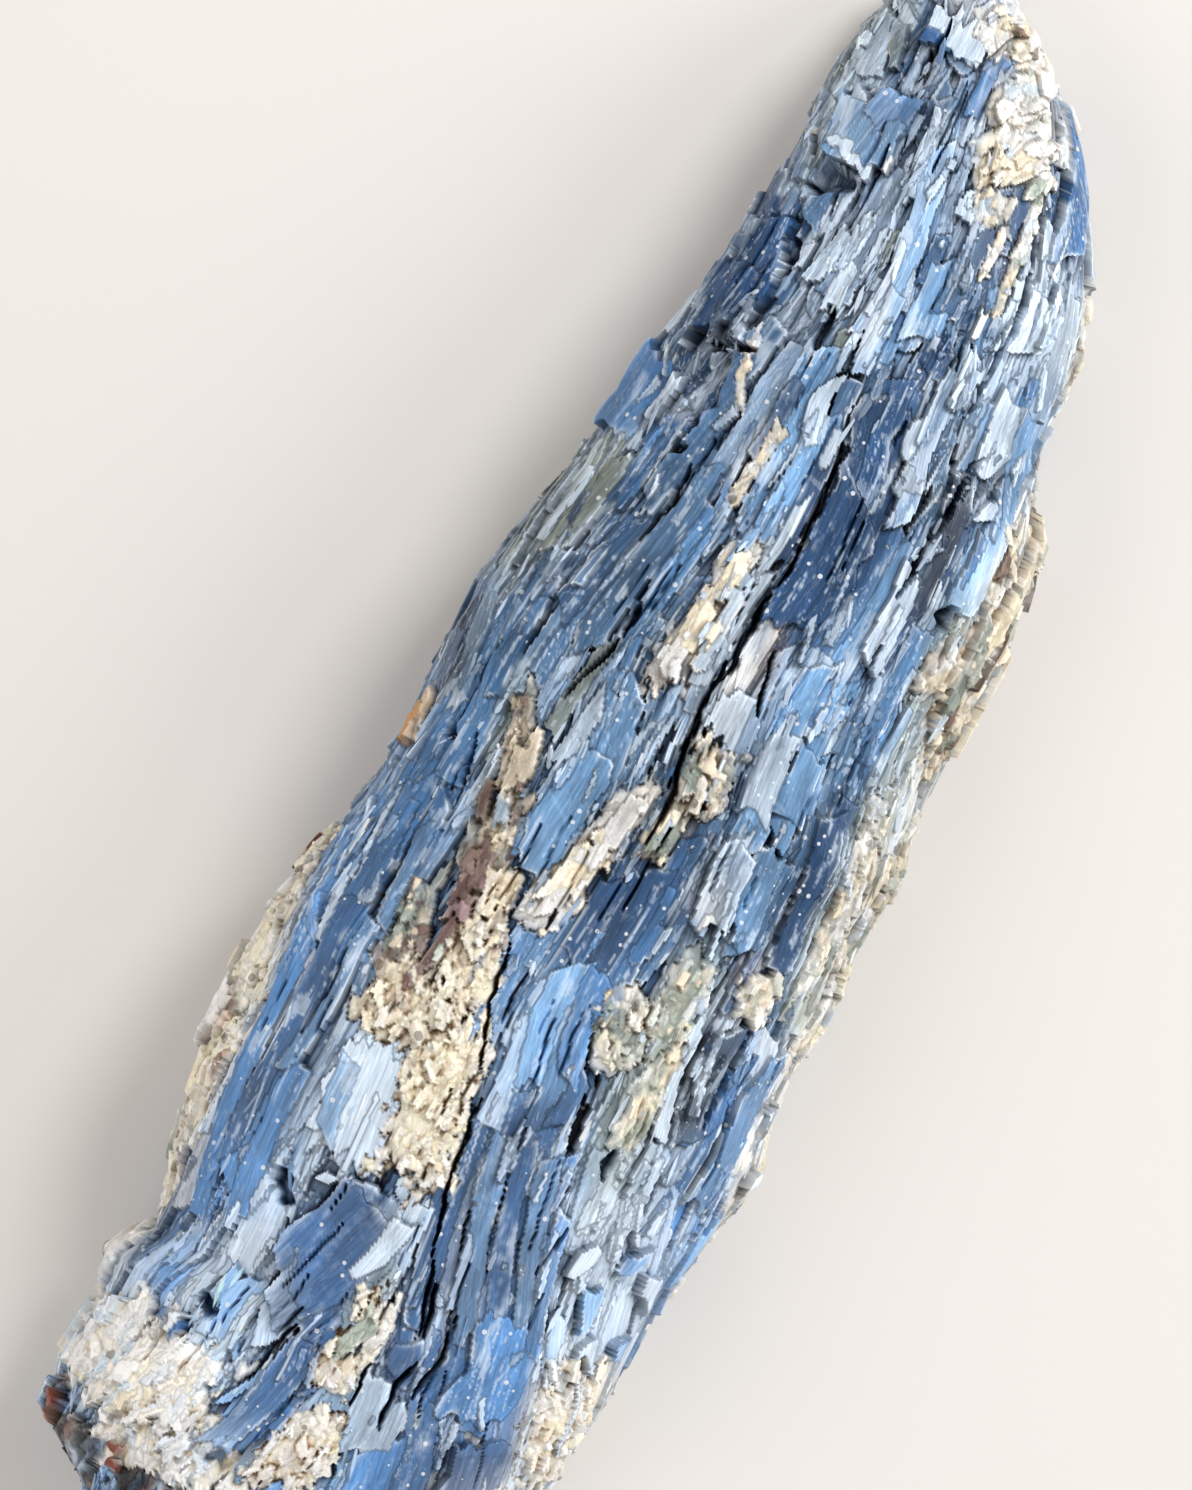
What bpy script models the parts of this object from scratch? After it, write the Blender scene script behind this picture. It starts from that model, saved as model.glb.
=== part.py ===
"""Kyanite blade cluster: a slab of blue blades grown together, with lenses of paler minerals set in it.

Run it with blender --background --python part.py, or from Blender's text editor.

Frame: +Y along the blades towards the pointed head, +X across, +Z up. The cluster lies on its flat
cleavage face, and the origin is the middle of the underside of its box. Tables are in millimetres and
are drawn about DRAWING_CENTRE.
"""

import math
import random

import bmesh
import bpy
import numpy as np
from mathutils import Matrix, Vector

MM = 0.001

# ---- driving dimensions, in millimetres and degrees ----------------------------------------------
DRAWING_CENTRE = Vector((3.68, -2.82, 0.0))
RIM_SHARE = 0.36  # height of a section's widest line, as a share of its crest
UPPER_POWER = 2.7  # superellipse power of the upper side: above 2 is flatter than an ellipse
LOWER_POWER = 2.3  # the same for the underside
LOWER_REACH = 1.3  # how far the underside would reach below the rim before the flat face cuts it
RIM_INSET = 1.7  # the core stays this far inside the outline, and the blades stand proud of it
SECTION_POINTS = 14
SECTION_STEP = 11.0
BLADE_ROOT = 2.6  # how deep a blade is rooted in the core
BLADE_LIFT = (0.9, 1.5)  # a leading blade stands this high, plus this times the lift in its row
BLADE_CHAMFER = 0.4  # chamfer along the upper edges of a broad blade
BROAD_BLADE = 4.0
GAP = 0.4  # clearance between the blades and each mineral set in them
SEED = 19

# The outline seen from above, as (along y, across x) rows.
LEFT_EDGE = [
    (-93, -10), (-90, -17), (-86, -21.5), (-82, -26), (-77, -27), (-71, -25.6), (-65, -25.8),
    (-61, -23.4), (-56, -24), (-50, -25), (-42, -26.2), (-33, -25.8), (-26, -25), (-17, -22.5),
    (-10, -20.6), (-3, -19.8), (12, -19.2), (20, -17), (27, -14.5), (35, -13), (41, -12),
    (46, -10), (52, -8.3), (60, -7.3), (74, -5.6), (80, -4.6), (85, -2.8), (89, 0.5),
]
RIGHT_EDGE = [
    (-93, 2), (-90, 8), (-84, 16), (-76, 22), (-68, 24.6), (-60, 26.2), (-48, 27.2), (-42, 29),
    (-36, 30.5), (-32, 31.2), (-26, 30.4), (-14, 31.4), (-8, 31.6), (0, 33), (4, 32.3), (12, 32.3),
    (19, 33), (26, 33.7), (33, 33.2), (37, 32.4), (41, 30.4), (46, 28.9), (57, 29), (62, 27.4),
    (67, 25.4), (72, 22.8), (77, 19.4), (81, 16.2), (84.5, 12.6), (87.5, 8.6), (89, 6.5),
]
# Height of the crest above the flat face, as (along y, height) rows.
CREST = [
    (-93, 16), (-86, 20.5), (-75, 23), (-60, 25), (-40, 26.5), (-10, 27), (20, 25.5), (45, 23),
    (65, 19.5), (80, 15), (89, 9),
]

# Leading blades: head x, head y, foot x, foot y, width, lift above the core, tilt about the blade.
LEADING_BLADES = [
    # the head
    (4.0, 81.5, 1.6, 72, 3.2, 0.6, 0), (-1.2, 84, -3.4, 69, 3.6, 0.3, -5),
    (6.2, 87, 5.0, 78, 3.6, 1.0, 5), (6.6, 79, 5.4, 65, 3.4, 0.6, 4),
    (1.8, 72.5, 0.6, 64.6, 6.5, 1.5, 0), (-4.0, 62.5, -5.6, 51.5, 5.0, 0.6, -6),
    (-4.2, 51, -5.2, 43.8, 6.0, 1.4, 0), (4.2, 66, 3.2, 50, 3.4, 0.9, 3),
    (7.6, 70, 7.6, 49.5, 2.4, 1.3, -3), (9.2, 56, 8.8, 45, 1.7, 1.5, 0),
    (10.8, 82, 11.0, 47, 2.4, 0.7, 4), (13.2, 80, 13.4, 52, 2.4, 1.0, -4),
    (15.8, 71, 17.0, 53, 3.0, 0.6, 3), (17.4, 79, 24.6, 62, 2.6, 0.5, 10),
    (20.0, 78, 26.2, 62.5, 2.2, 0.3, 14), (23.0, 62.5, 24.2, 47.5, 5.2, 1.0, 6),
    (18.6, 66, 18.9, 46, 2.0, 0.5, 0), (14.9, 54, 14.8, 44, 3.2, 0.8, 0),
    # above the middle
    (-8.4, 43.5, -11.2, 29.5, 5.0, 0.5, -4), (0.6, 49, -4.6, 27, 2.8, 1.0, 3),
    (-2.2, 40, -8.8, 12.5, 2.8, 0.7, -3), (-1.0, 30, -5.4, 8, 2.6, 1.1, 4),
    (2.6, 46, -0.6, 29, 2.4, 0.8, -4), (1.4, 30, -2.2, 6, 2.6, 0.7, 2),
    (-10.6, 30, -13.8, 13.5, 4.2, 0.4, -6), (6.0, 48, 4.4, 27, 2.6, 1.0, 2),
    (8.6, 44, 7.8, 24, 2.0, 1.3, -4), (8.2, 26, 6.4, 9, 1.7, 1.1, 3),
    (14.2, 47, 13.6, 18.5, 7.0, 0.8, 2), (10.6, 20.5, 9.8, 5, 2.2, 0.8, -3),
    (17.9, 51, 17.9, 33, 2.0, 1.4, -3), (18.6, 34, 17.8, 13, 2.4, 1.0, 3),
    (21.6, 42, 20.4, 18.6, 2.3, 1.6, -2), (25.6, 47, 26.2, 28.0, 2.6, 1.2, 4),
    (23.8, 40, 23.2, 24, 2.4, 0.4, 0), (23.4, 50, 23.0, 40.5, 4.6, 1.1, -4),
    (15.6, 19, 15.4, -1, 3.2, 0.9, 2), (27.8, 31, 27.6, 11, 2.4, 0.4, 6),
    (24.2, 24, 23.8, 8, 2.6, 0.8, -2), (12.6, 17, 13.0, 2, 1.6, 1.1, 0),
    # below the middle
    (-15.8, 14, -16.6, -4, 3.2, 0.4, -4), (-11.6, 13, -12.4, -8, 2.8, 0.6, 3),
    (-14.0, -7, -15.6, -30, 2.2, 0.9, -3), (-17.2, -8, -18.8, -31, 2.4, 0.6, -5),
    (-12.0, -8, -13.2, -27, 1.9, 1.0, 3), (-2.2, 9, -3.4, -12, 2.8, 0.7, -3),
    (0.8, 8, -0.2, -9, 2.8, 0.9, 2), (3.8, 10, 3.4, -3, 2.2, 0.6, 0),
    (8.6, -5, 5.8, -24, 2.4, 0.4, 3), (11.6, -2, 9.8, -22, 2.6, 0.8, -3),
    (6.4, 2, 5.2, -12, 1.8, 0.9, 4), (16.2, 16, 16.0, -4, 2.8, 1.3, 0),
    (19.2, 17, 18.6, -2, 2.8, 1.0, 3), (15.8, -3, 16.0, -13, 3.6, 1.7, -2),
    (19.6, -1, 19.6, -13, 3.0, 1.3, 2), (23.6, 5, 23.4, -13.5, 2.8, 1.0, 0),
    (26.8, 10, 27.0, -19, 3.4, 0.4, 6),
    # towards the foot
    (-15.2, -28, -17.2, -55, 2.2, 0.9, -2), (-18.4, -30, -20.0, -60, 2.4, 0.7, -5),
    (-13.0, -33, -14.6, -52, 1.8, 0.6, 3), (-8.4, -33, -8.8, -48, 5.4, 0.9, 0),
    (4.4, -21, 4.0, -36, 2.4, 0.8, 2), (8.2, -22, 8.6, -37, 2.6, 1.0, -2),
    (3.4, -35, 6.6, -68, 2.4, 0.6, 3), (6.0, -34, 9.6, -74, 2.4, 1.0, -3),
    (9.0, -33, 12.4, -60, 2.6, 0.8, 2), (12.2, -36, 13.8, -66, 2.2, 1.0, -2),
    (16.6, -17, 17.0, -41, 2.6, 0.7, 2), (19.2, -16, 19.4, -40, 2.0, 0.5, -2),
    (21.8, -18, 21.8, -32, 3.2, 1.0, 0), (25.4, -17, 25.6, -49, 3.0, 0.7, 4),
    (28.6, -20, 28.2, -46, 2.2, 0.4, 8), (17.4, -41, 17.8, -54, 4.2, 1.4, -3),
    (21.6, -40, 22.2, -52, 4.0, 1.6, 3), (19.6, -52, 20.6, -62, 4.4, 1.1, 0),
    (24.4, -50, 24.2, -61, 3.6, 0.8, 6), (-2.4, -47.5, -6.8, -64, 8.0, 1.9, 0),
    (0.6, -47.5, 0.2, -58, 3.0, 1.2, 3), (-12.6, -51, -13.4, -62, 3.4, 0.8, -2),
    (-10.4, -59, -13.4, -71, 4.2, 1.1, 2), (-2.4, -62, -8.6, -78, 3.0, 1.5, 0),
    (1.2, -58, 0.4, -70, 3.0, 0.8, 0), (4.0, -66, 5.6, -84, 2.8, 0.7, 2),
    (8.4, -60, 10.4, -86, 2.8, 0.9, -2), (13.2, -66, 14.8, -80, 2.6, 0.6, 2),
    (16.2, -56, 17.6, -76, 2.6, 0.7, -2), (21.2, -61, 21.4, -72, 3.2, 0.6, 4),
    (0.0, -77, -0.5, -90, 3.2, 0.6, 0), (-6.0, -79, -6.6, -90, 3.4, 0.4, 0),
    (12.0, -78, 12.0, -87, 3.0, 0.3, 0),
]
# Flank blades lie around the sides: degrees round the section from +X, on the right side. The left
# side has the same ones mirrored.
FLANK_ANGLES = (-24.0, 2.0, 25.0)
FLANK_STEP = 23.0
FLANK_WIDTH = 7.0
FLANK_LENGTH = (23.0, 38.0)
FLANK_LIFT = (0.7, 2.1)
# Blades broken off across the foot: degrees round the section, how far short of the end they stop.
FOOT_BLADES = [
    (8, 2.0), (32, 0.4), (52, 1.6), (72, 0.0), (92, 1.2), (112, 0.3), (130, 2.2), (152, 0.8),
    (176, 2.6), (200, 1.0), (-20, 0.9),
]
FOOT_BLADE_LENGTH = 17.0
FOOT_BLADE_WIDTH = 5.5

# Minerals set in the blades: name, colour, roughness, then lumps as across x, along y, half width,
# half length, half height, lift above the core, turn seen from above.
MINERALS = [
    ("head_quartz_crust", (0.80, 0.73, 0.60), 0.7, [
        (11.0, 83.0, 3.2, 3.4, 2.8, 2.4, 20), (12.6, 77.6, 2.2, 4.2, 2.6, 2.2, 10),
        (14.4, 72.4, 2.8, 3.6, 2.8, 2.6, 25),
    ]),
    ("right_quartz_band", (0.78, 0.70, 0.56), 0.7, [
        (30.6, 36.0, 2.9, 5.6, 4.4, 1.9, 8), (30.4, 27.0, 3.3, 6.6, 5.0, 2.2, 0),
        (30.2, 17.5, 2.9, 6.6, 4.8, 1.8, -4),
    ]),
    ("right_quartz_edge", (0.82, 0.79, 0.70), 0.7, [
        (30.2, 3.5, 2.4, 6.4, 4.4, 1.9, 0), (29.8, -6.0, 2.4, 6.2, 4.4, 1.7, 0),
        (29.4, -15.0, 2.4, 5.6, 4.4, 1.8, 0),
    ]),
    ("upper_quartz_pocket", (0.85, 0.80, 0.70), 0.6, [
        (5.6, 22.4, 2.2, 4.6, 3.2, 2.3, 8), (4.2, 14.8, 2.4, 5.8, 3.2, 2.1, 8),
    ]),
    ("quartz_nugget", (0.80, 0.72, 0.56), 0.6, [
        (10.2, 2.6, 2.6, 3.2, 3.4, 3.4, 10), (8.8, -3.2, 1.5, 4.4, 2.8, 2.2, 8),
    ]),
    ("iron_stained_nodule", (0.62, 0.36, 0.16), 0.7, [(-17.2, -3.0, 1.5, 2.8, 2.4, 2.4, 0)]),
    ("cleft_mica_vein", (0.34, 0.26, 0.26), 0.55, [
        (-7.6, -2.6, 1.5, 5.4, 2.8, 1.8, -10), (-6.2, -11.6, 2.2, 6.0, 3.0, 1.9, -6),
    ]),
    ("quartz_wedge", (0.83, 0.77, 0.66), 0.6, [
        (3.9, -5.4, 2.1, 4.6, 3.2, 2.5, 14), (1.9, -12.0, 2.1, 5.6, 3.2, 2.3, 14),
    ]),
    ("lower_quartz_pocket", (0.84, 0.76, 0.60), 0.6, [
        (-3.8, -23.6, 2.9, 6.0, 3.6, 2.2, -8), (-8.0, -29.6, 4.2, 3.6, 3.4, 2.0, 0),
        (-2.2, -37.0, 3.8, 9.0, 3.8, 2.4, -6),
    ]),
    ("right_feldspar_pocket", (0.72, 0.66, 0.52), 0.65, [
        (12.4, -24.0, 3.0, 4.8, 3.2, 2.0, -6),
    ]),
    ("left_matrix", (0.72, 0.64, 0.52), 0.75, [
        (-22.2, -23.0, 2.7, 6.0, 5.0, 1.8, 8), (-23.0, -33.6, 2.9, 7.4, 5.4, 2.1, 2),
        (-22.8, -45.0, 2.7, 7.6, 5.4, 1.9, -3), (-22.2, -55.0, 2.3, 5.8, 5.0, 1.7, -4),
    ]),
    ("foot_quartz_pocket", (0.82, 0.75, 0.62), 0.65, [(-0.6, -74.2, 3.0, 5.4, 3.4, 2.1, 8)]),
    ("foot_white_crust", (0.86, 0.85, 0.82), 0.7, [
        (-21.4, -72.2, 4.8, 5.6, 6.0, 2.2, 0), (-15.4, -73.6, 5.4, 5.6, 5.4, 2.8, 20),
        (-10.4, -80.4, 4.4, 4.2, 4.8, 2.2, -10),
    ]),
    ("foot_biotite_clot", (0.10, 0.07, 0.06), 0.5, [
        (-20.2, -84.6, 4.2, 3.9, 5.8, 2.0, 15),
    ]),
]
MINERAL_POWER = 4.0  # a lump is between an ellipsoid (2) and a box


def row_value(rows, along):
    """Reads a value from a table of (along, value) rows."""
    return float(np.interp(along, [row[0] for row in rows], [row[1] for row in rows]))


def section(along):
    """Gives a section's middle across x, half width and crest height."""
    left = row_value(LEFT_EDGE, along) + RIM_INSET
    right = row_value(RIGHT_EDGE, along) - RIM_INSET
    return (left + right) / 2, (right - left) / 2, row_value(CREST, along)


def surface_at(along, angle):
    """Gives the core's surface point and outward normal at an angle round the section from +X."""
    middle, half, crest = section(along)
    rim = RIM_SHARE * crest
    upper = math.sin(angle) >= 0
    power = UPPER_POWER if upper else LOWER_POWER
    rise = crest - rim if upper else rim * LOWER_REACH
    across = math.copysign(abs(math.cos(angle)) ** (2 / power), math.cos(angle))
    height = math.copysign(abs(math.sin(angle)) ** (2 / power), math.sin(angle))
    point = Vector((middle + half * across, along, rim + rise * height))
    normal = Vector((
        math.copysign(abs(across) ** (power - 1) / half, across),
        0.0,
        math.copysign(abs(height) ** (power - 1) / rise, height),
    ))
    return point, normal.normalized()


def surface_over(across, along):
    """Gives the core's upper surface point and normal over a place seen from above."""
    middle, half, _ = section(along)
    share = max(-0.995, min(0.995, (across - middle) / half))
    return surface_at(along, math.acos(math.copysign(abs(share) ** (UPPER_POWER / 2), share)))


def placed(mesh_vertices, matrix):
    """Moves vertices drawn in millimetres to their place in metres about the origin."""
    for vertex in mesh_vertices:
        vertex.co = (matrix @ vertex.co - DRAWING_CENTRE) * MM


def collection(name):
    """Makes a collection in the scene."""
    made = bpy.data.collections.new(name)
    bpy.context.scene.collection.children.link(made)
    return made


def add_object(name, bm, target):
    """Turns a bmesh into an object in a collection."""
    mesh = bpy.data.meshes.new(name)
    bm.to_mesh(mesh)
    bm.free()
    made = bpy.data.objects.new(name, mesh)
    target.objects.link(made)
    return made


def finish(obj, colour, roughness):
    """Gives an object its own Principled material."""
    material = bpy.data.materials.new(obj.name)
    material.use_nodes = True
    shader = material.node_tree.nodes["Principled BSDF"]
    shader.inputs["Base Color"].default_value = (*colour, 1.0)
    shader.inputs["Roughness"].default_value = roughness
    shader.inputs["Metallic"].default_value = 0.0
    obj.data.materials.clear()
    obj.data.materials.append(material)


def core(rng):
    """Lofts the body that the blades stand on, section by section along the outline."""
    bm = bmesh.new()
    count = round((LEFT_EDGE[-1][0] - LEFT_EDGE[0][0]) / SECTION_STEP)
    stations = np.linspace(LEFT_EDGE[0][0] + RIM_INSET, LEFT_EDGE[-1][0] - RIM_INSET, count)
    rings = []
    for along in stations:
        ring = []
        for index in range(SECTION_POINTS):
            point, normal = surface_at(float(along), 2 * math.pi * index / SECTION_POINTS)
            ring.append(bm.verts.new(point + normal * rng.uniform(-0.35, 0.1)))
        rings.append(ring)
    for lower, upper in zip(rings, rings[1:]):
        for index in range(SECTION_POINTS):
            following = (index + 1) % SECTION_POINTS
            bm.faces.new((lower[index], upper[index], upper[following], lower[following]))
    bm.faces.new(rings[0])
    bm.faces.new(rings[-1])
    placed(bm.verts, Matrix.Identity(4))
    bmesh.ops.recalc_face_normals(bm, faces=bm.faces)
    return bm


def add_blade(bm, head, foot, normal, width, depth, tilt, slants, chamfer):
    """Adds one flat blade to bm: a box from head to foot, its ends cut slanting and its top chamfered."""
    along = (head - foot).normalized()
    side = along.cross(normal).normalized()
    up = side.cross(along)
    turn = Matrix.Rotation(math.radians(tilt), 3, "Y")
    axes = Matrix((side, along, up)).transposed() @ turn
    length = (head - foot).length
    blade = bmesh.new()
    bmesh.ops.create_cube(blade, size=1.0)
    for vertex in blade.verts:
        x, y, z = vertex.co
        slant = slants[0] if y > 0 else slants[1]
        vertex.co = (x * width, y * length + 2 * x * slant, (z - 0.5) * depth)
    if chamfer > 0:
        edges = [e for e in blade.edges if all(v.co.z > -0.1 * depth for v in e.verts)]
        long_edges = [e for e in edges if e.calc_length() > width * 1.2 and
                      abs(e.verts[0].co.x - e.verts[1].co.x) < width * 0.5]
        bmesh.ops.bevel(blade, geom=long_edges, offset=chamfer, segments=1, affect="EDGES")
    placed(blade.verts, Matrix.Translation((head + foot) / 2) @ axes.to_4x4())
    kept = bpy.data.meshes.new("blade")
    blade.to_mesh(kept)
    blade.free()
    bm.from_mesh(kept)
    bpy.data.meshes.remove(kept)


def leading_blades(bm, rng):
    """Adds the blades of the upper side, one for each row of LEADING_BLADES."""
    for head_x, head_y, foot_x, foot_y, width, lift, tilt in LEADING_BLADES:
        head, head_normal = surface_over(head_x, head_y)
        foot, foot_normal = surface_over(foot_x, foot_y)
        normal = (head_normal + foot_normal).normalized()
        slants = [rng.uniform(-0.35, 0.35) * width for _ in range(2)]
        height = BLADE_LIFT[0] + BLADE_LIFT[1] * lift
        lifted = normal * height
        chamfer = BLADE_CHAMFER if width > BROAD_BLADE else 0.0
        add_blade(bm, head + lifted, foot + lifted, normal, width, BLADE_ROOT + height, 1.6 * tilt,
                  slants, chamfer)


def flank_blades(bm, rng):
    """Adds the blades round both sides, in staggered rows."""
    first, last = LEFT_EDGE[0][0] + 12.0, LEFT_EDGE[-1][0] - 12.0
    for mirrored in (False, True):
        for row, angle in enumerate(FLANK_ANGLES):
            along = first + FLANK_STEP * 0.25 * ((row * 3 + mirrored) % 4)
            while along < last:
                length = rng.uniform(*FLANK_LENGTH)
                turned = math.radians(180 - angle if mirrored else angle)
                head_y, foot_y = min(along + length / 2, 87), max(along - length / 2, -91)
                head, head_normal = surface_at(head_y, turned)
                foot, foot_normal = surface_at(foot_y, turned)
                normal = (head_normal + foot_normal).normalized()
                height = rng.uniform(*FLANK_LIFT)
                lifted = normal * height
                width = FLANK_WIDTH * rng.uniform(0.7, 1.2)
                slants = [rng.uniform(-0.3, 0.3) * width for _ in range(2)]
                add_blade(bm, head + lifted, foot + lifted, normal, width, BLADE_ROOT + height,
                          rng.uniform(-9, 9), slants, 0.0)
                along += FLANK_STEP


def foot_blades(bm, rng):
    """Adds the blades that end in the broken foot, each stopping where its row says."""
    end = LEFT_EDGE[0][0]
    for angle, short in FOOT_BLADES:
        turned = math.radians(angle)
        head, head_normal = surface_at(end + short + FOOT_BLADE_LENGTH, turned)
        foot, foot_normal = surface_at(end + 6.0, turned)
        foot = foot + (foot - head).normalized() * (6.0 - short)
        normal = (head_normal + foot_normal).normalized()
        width = FOOT_BLADE_WIDTH * rng.uniform(0.8, 1.2)
        height = rng.uniform(0.4, 1.4)
        slants = [rng.uniform(-0.3, 0.3) * width for _ in range(2)]
        add_blade(bm, head + normal * height, foot + normal * height, normal, width,
                  BLADE_ROOT + 2.5, rng.uniform(-9, 9), slants, 0.0)


def add_lump(bm, lump, rng, grow):
    """Adds one faceted lump of mineral to bm, grown outwards by a clearance."""
    across, along, half_x, half_y, half_z, lift, turn = lump
    point, normal = surface_over(across, along)
    up = normal
    side = Vector((0, 1, 0)).cross(up).normalized()
    axes = Matrix((side, up.cross(side), up)).transposed()
    axes = axes @ Matrix.Rotation(math.radians(-turn), 3, "Z")
    grain = bmesh.new()
    bmesh.ops.create_uvsphere(grain, u_segments=6, v_segments=5, radius=1.0)
    bmesh.ops.triangulate(grain, faces=grain.faces)
    for vertex in grain.verts:
        power = sum(abs(value) ** MINERAL_POWER for value in vertex.co) ** (1 / MINERAL_POWER)
        scale = rng.uniform(0.86, 1.04) / power
        vertex.co = Vector((vertex.co.x * half_x, vertex.co.y * half_y, vertex.co.z * half_z)) * scale
    grain.normal_update()
    moved = [vertex.co + vertex.normal * grow for vertex in grain.verts]
    for vertex, place in zip(grain.verts, moved):
        vertex.co = place
    placed(grain.verts, Matrix.Translation(point + normal * (lift - half_z)) @ axes.to_4x4())
    kept = bpy.data.meshes.new("lump")
    grain.to_mesh(kept)
    grain.free()
    bm.from_mesh(kept)
    bpy.data.meshes.remove(kept)


def boolean(obj, other, operation):
    """Adds a Boolean modifier that takes another object."""
    modifier = obj.modifiers.new(operation.title(), "BOOLEAN")
    modifier.operation = operation
    modifier.solver = "EXACT"
    modifier.use_self = True
    modifier.object = other


def settled(obj):
    """Applies an object's modifiers, and keeps the largest of its islands."""
    graph = bpy.context.evaluated_depsgraph_get()
    mesh = bpy.data.meshes.new_from_object(obj.evaluated_get(graph))
    obj.modifiers.clear()
    bm = bmesh.new()
    bm.from_mesh(mesh)
    bmesh.ops.remove_doubles(bm, verts=bm.verts, dist=2e-6)
    bmesh.ops.dissolve_limit(bm, angle_limit=math.radians(0.8), verts=bm.verts, edges=bm.edges)
    bmesh.ops.triangulate(bm, faces=bm.faces)
    unseen = set(bm.verts)
    islands = []
    while unseen:
        island = {unseen.pop()}
        edge = list(island)
        while edge:
            for link in edge.pop().link_edges:
                for vertex in link.verts:
                    if vertex in unseen:
                        unseen.remove(vertex)
                        island.add(vertex)
                        edge.append(vertex)
        islands.append(island)
    largest = max(islands, key=len)
    loose = [vertex for island in islands if island is not largest for vertex in island]
    bmesh.ops.delete(bm, geom=loose, context="VERTS")
    bm.to_mesh(mesh)
    bm.free()
    obj.data = mesh


def guide(obj):
    """Marks a helper that is no part of the model."""
    obj.hide_render = True
    obj.display_type = "WIRE"


def main():
    """Builds the cluster."""
    for obj in list(bpy.data.objects):
        bpy.data.objects.remove(obj, do_unlink=True)
    parts = collection("kyanite_blade_cluster")
    cutters = collection("cutters")
    rng = random.Random(SEED)

    blades = add_object("kyanite_blades", core(rng), parts)
    stock = bmesh.new()
    leading_blades(stock, rng)
    flank_blades(stock, rng)
    foot_blades(stock, rng)
    growth = add_object("blade_stock", stock, cutters)
    guide(growth)

    floor = bmesh.new()
    bmesh.ops.create_cube(floor, size=1.0)
    for vertex in floor.verts:
        vertex.co = Vector((vertex.co.x * 0.2, vertex.co.y * 0.3, (vertex.co.z - 0.5) * 0.05))
    below = add_object("floor_cutter", floor, cutters)
    guide(below)

    pockets = bmesh.new()
    for number, (name, colour, roughness, lumps) in enumerate(MINERALS):
        mineral = bmesh.new()
        for index, lump in enumerate(lumps):
            seed = SEED + 100 * number + index
            add_lump(mineral, lump, random.Random(seed), 0.0)
            add_lump(pockets, lump, random.Random(seed), GAP)
        piece = add_object(name, mineral, parts)
        boolean(piece, below, "DIFFERENCE")
        settled(piece)
        finish(piece, colour, roughness)
    pocket_cutter = add_object("pocket_cutter", pockets, cutters)
    guide(pocket_cutter)

    boolean(blades, growth, "UNION")
    boolean(blades, pocket_cutter, "DIFFERENCE")
    boolean(blades, below, "DIFFERENCE")
    settled(blades)
    finish(blades, (0.12, 0.22, 0.47), 0.35)


main()
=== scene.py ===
"""Dresses the kyanite blade cluster: sheaves of blue lamellae, shards, granular pockets, mica and rust.

Lengths are millimetres in the drawing's frame unless a name says otherwise: +Y along the blades towards
the head, +X across, +Z up from the flat face. Form.world moves them into the shared frame.
"""

import logging
import math
from dataclasses import dataclass, field
from enum import Enum

import bmesh
import bpy
import numpy as np
from mathutils import Matrix, Vector


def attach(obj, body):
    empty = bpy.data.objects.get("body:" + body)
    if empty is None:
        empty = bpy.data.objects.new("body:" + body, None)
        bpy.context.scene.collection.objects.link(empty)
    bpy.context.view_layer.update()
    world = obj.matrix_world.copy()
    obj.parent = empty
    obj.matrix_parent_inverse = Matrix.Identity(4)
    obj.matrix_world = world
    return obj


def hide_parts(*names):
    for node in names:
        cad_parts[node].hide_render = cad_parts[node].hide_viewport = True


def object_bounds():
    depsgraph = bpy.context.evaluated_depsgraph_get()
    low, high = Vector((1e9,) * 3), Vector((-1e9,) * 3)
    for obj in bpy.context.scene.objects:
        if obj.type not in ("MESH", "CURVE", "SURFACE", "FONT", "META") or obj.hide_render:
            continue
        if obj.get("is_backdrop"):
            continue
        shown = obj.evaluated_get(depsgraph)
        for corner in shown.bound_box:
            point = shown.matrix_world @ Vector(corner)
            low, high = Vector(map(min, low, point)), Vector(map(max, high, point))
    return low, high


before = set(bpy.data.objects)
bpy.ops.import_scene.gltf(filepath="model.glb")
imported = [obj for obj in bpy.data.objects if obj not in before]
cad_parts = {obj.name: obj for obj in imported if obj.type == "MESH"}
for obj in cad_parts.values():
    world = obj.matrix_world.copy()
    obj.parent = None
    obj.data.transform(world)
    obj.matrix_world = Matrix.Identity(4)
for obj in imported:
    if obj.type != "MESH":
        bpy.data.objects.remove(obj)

CAD_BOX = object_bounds()
MM = 0.001
SEED = 19
FLATTEST = 1e-6
LEAST_GAP = 1e-9
log = logging.getLogger("kyanite_blade_cluster")


class Tone(Enum):
    """Colours of the specimen's minerals, and a painted shade for its recesses, as sRGB."""

    NAVY = (0.14, 0.285, 0.45)
    STEEL = (0.25, 0.435, 0.635)
    SLATE = (0.34, 0.47, 0.61)
    SKY = (0.45, 0.62, 0.79)
    ICE = (0.79, 0.855, 0.92)
    WHITE = (0.97, 0.97, 0.96)
    GREY = (0.64, 0.71, 0.78)
    OLIVE = (0.60, 0.64, 0.60)
    CREAM = (0.95, 0.90, 0.80)
    BUTTER = (0.99, 0.925, 0.815)
    PLUM = (0.44, 0.34, 0.32)
    BROWN = (0.46, 0.37, 0.33)
    RUST = (0.42, 0.18, 0.08)
    TAN = (0.80, 0.61, 0.38)
    BLACK = (0.11, 0.11, 0.12)
    # SHADE is painted shade for recesses and crevices, not the colour of a mineral
    SHADE = (0.10, 0.15, 0.23)

    def linear(self) -> np.ndarray:
        """Gives the colour as scene-linear RGB."""
        return to_linear(self.value)


NAVY, STEEL, SLATE, SKY, ICE, WHITE, GREY, OLIVE, CREAM, BUTTER, PLUM, BROWN, RUST, TAN, BLACK, SHADE = Tone


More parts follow.
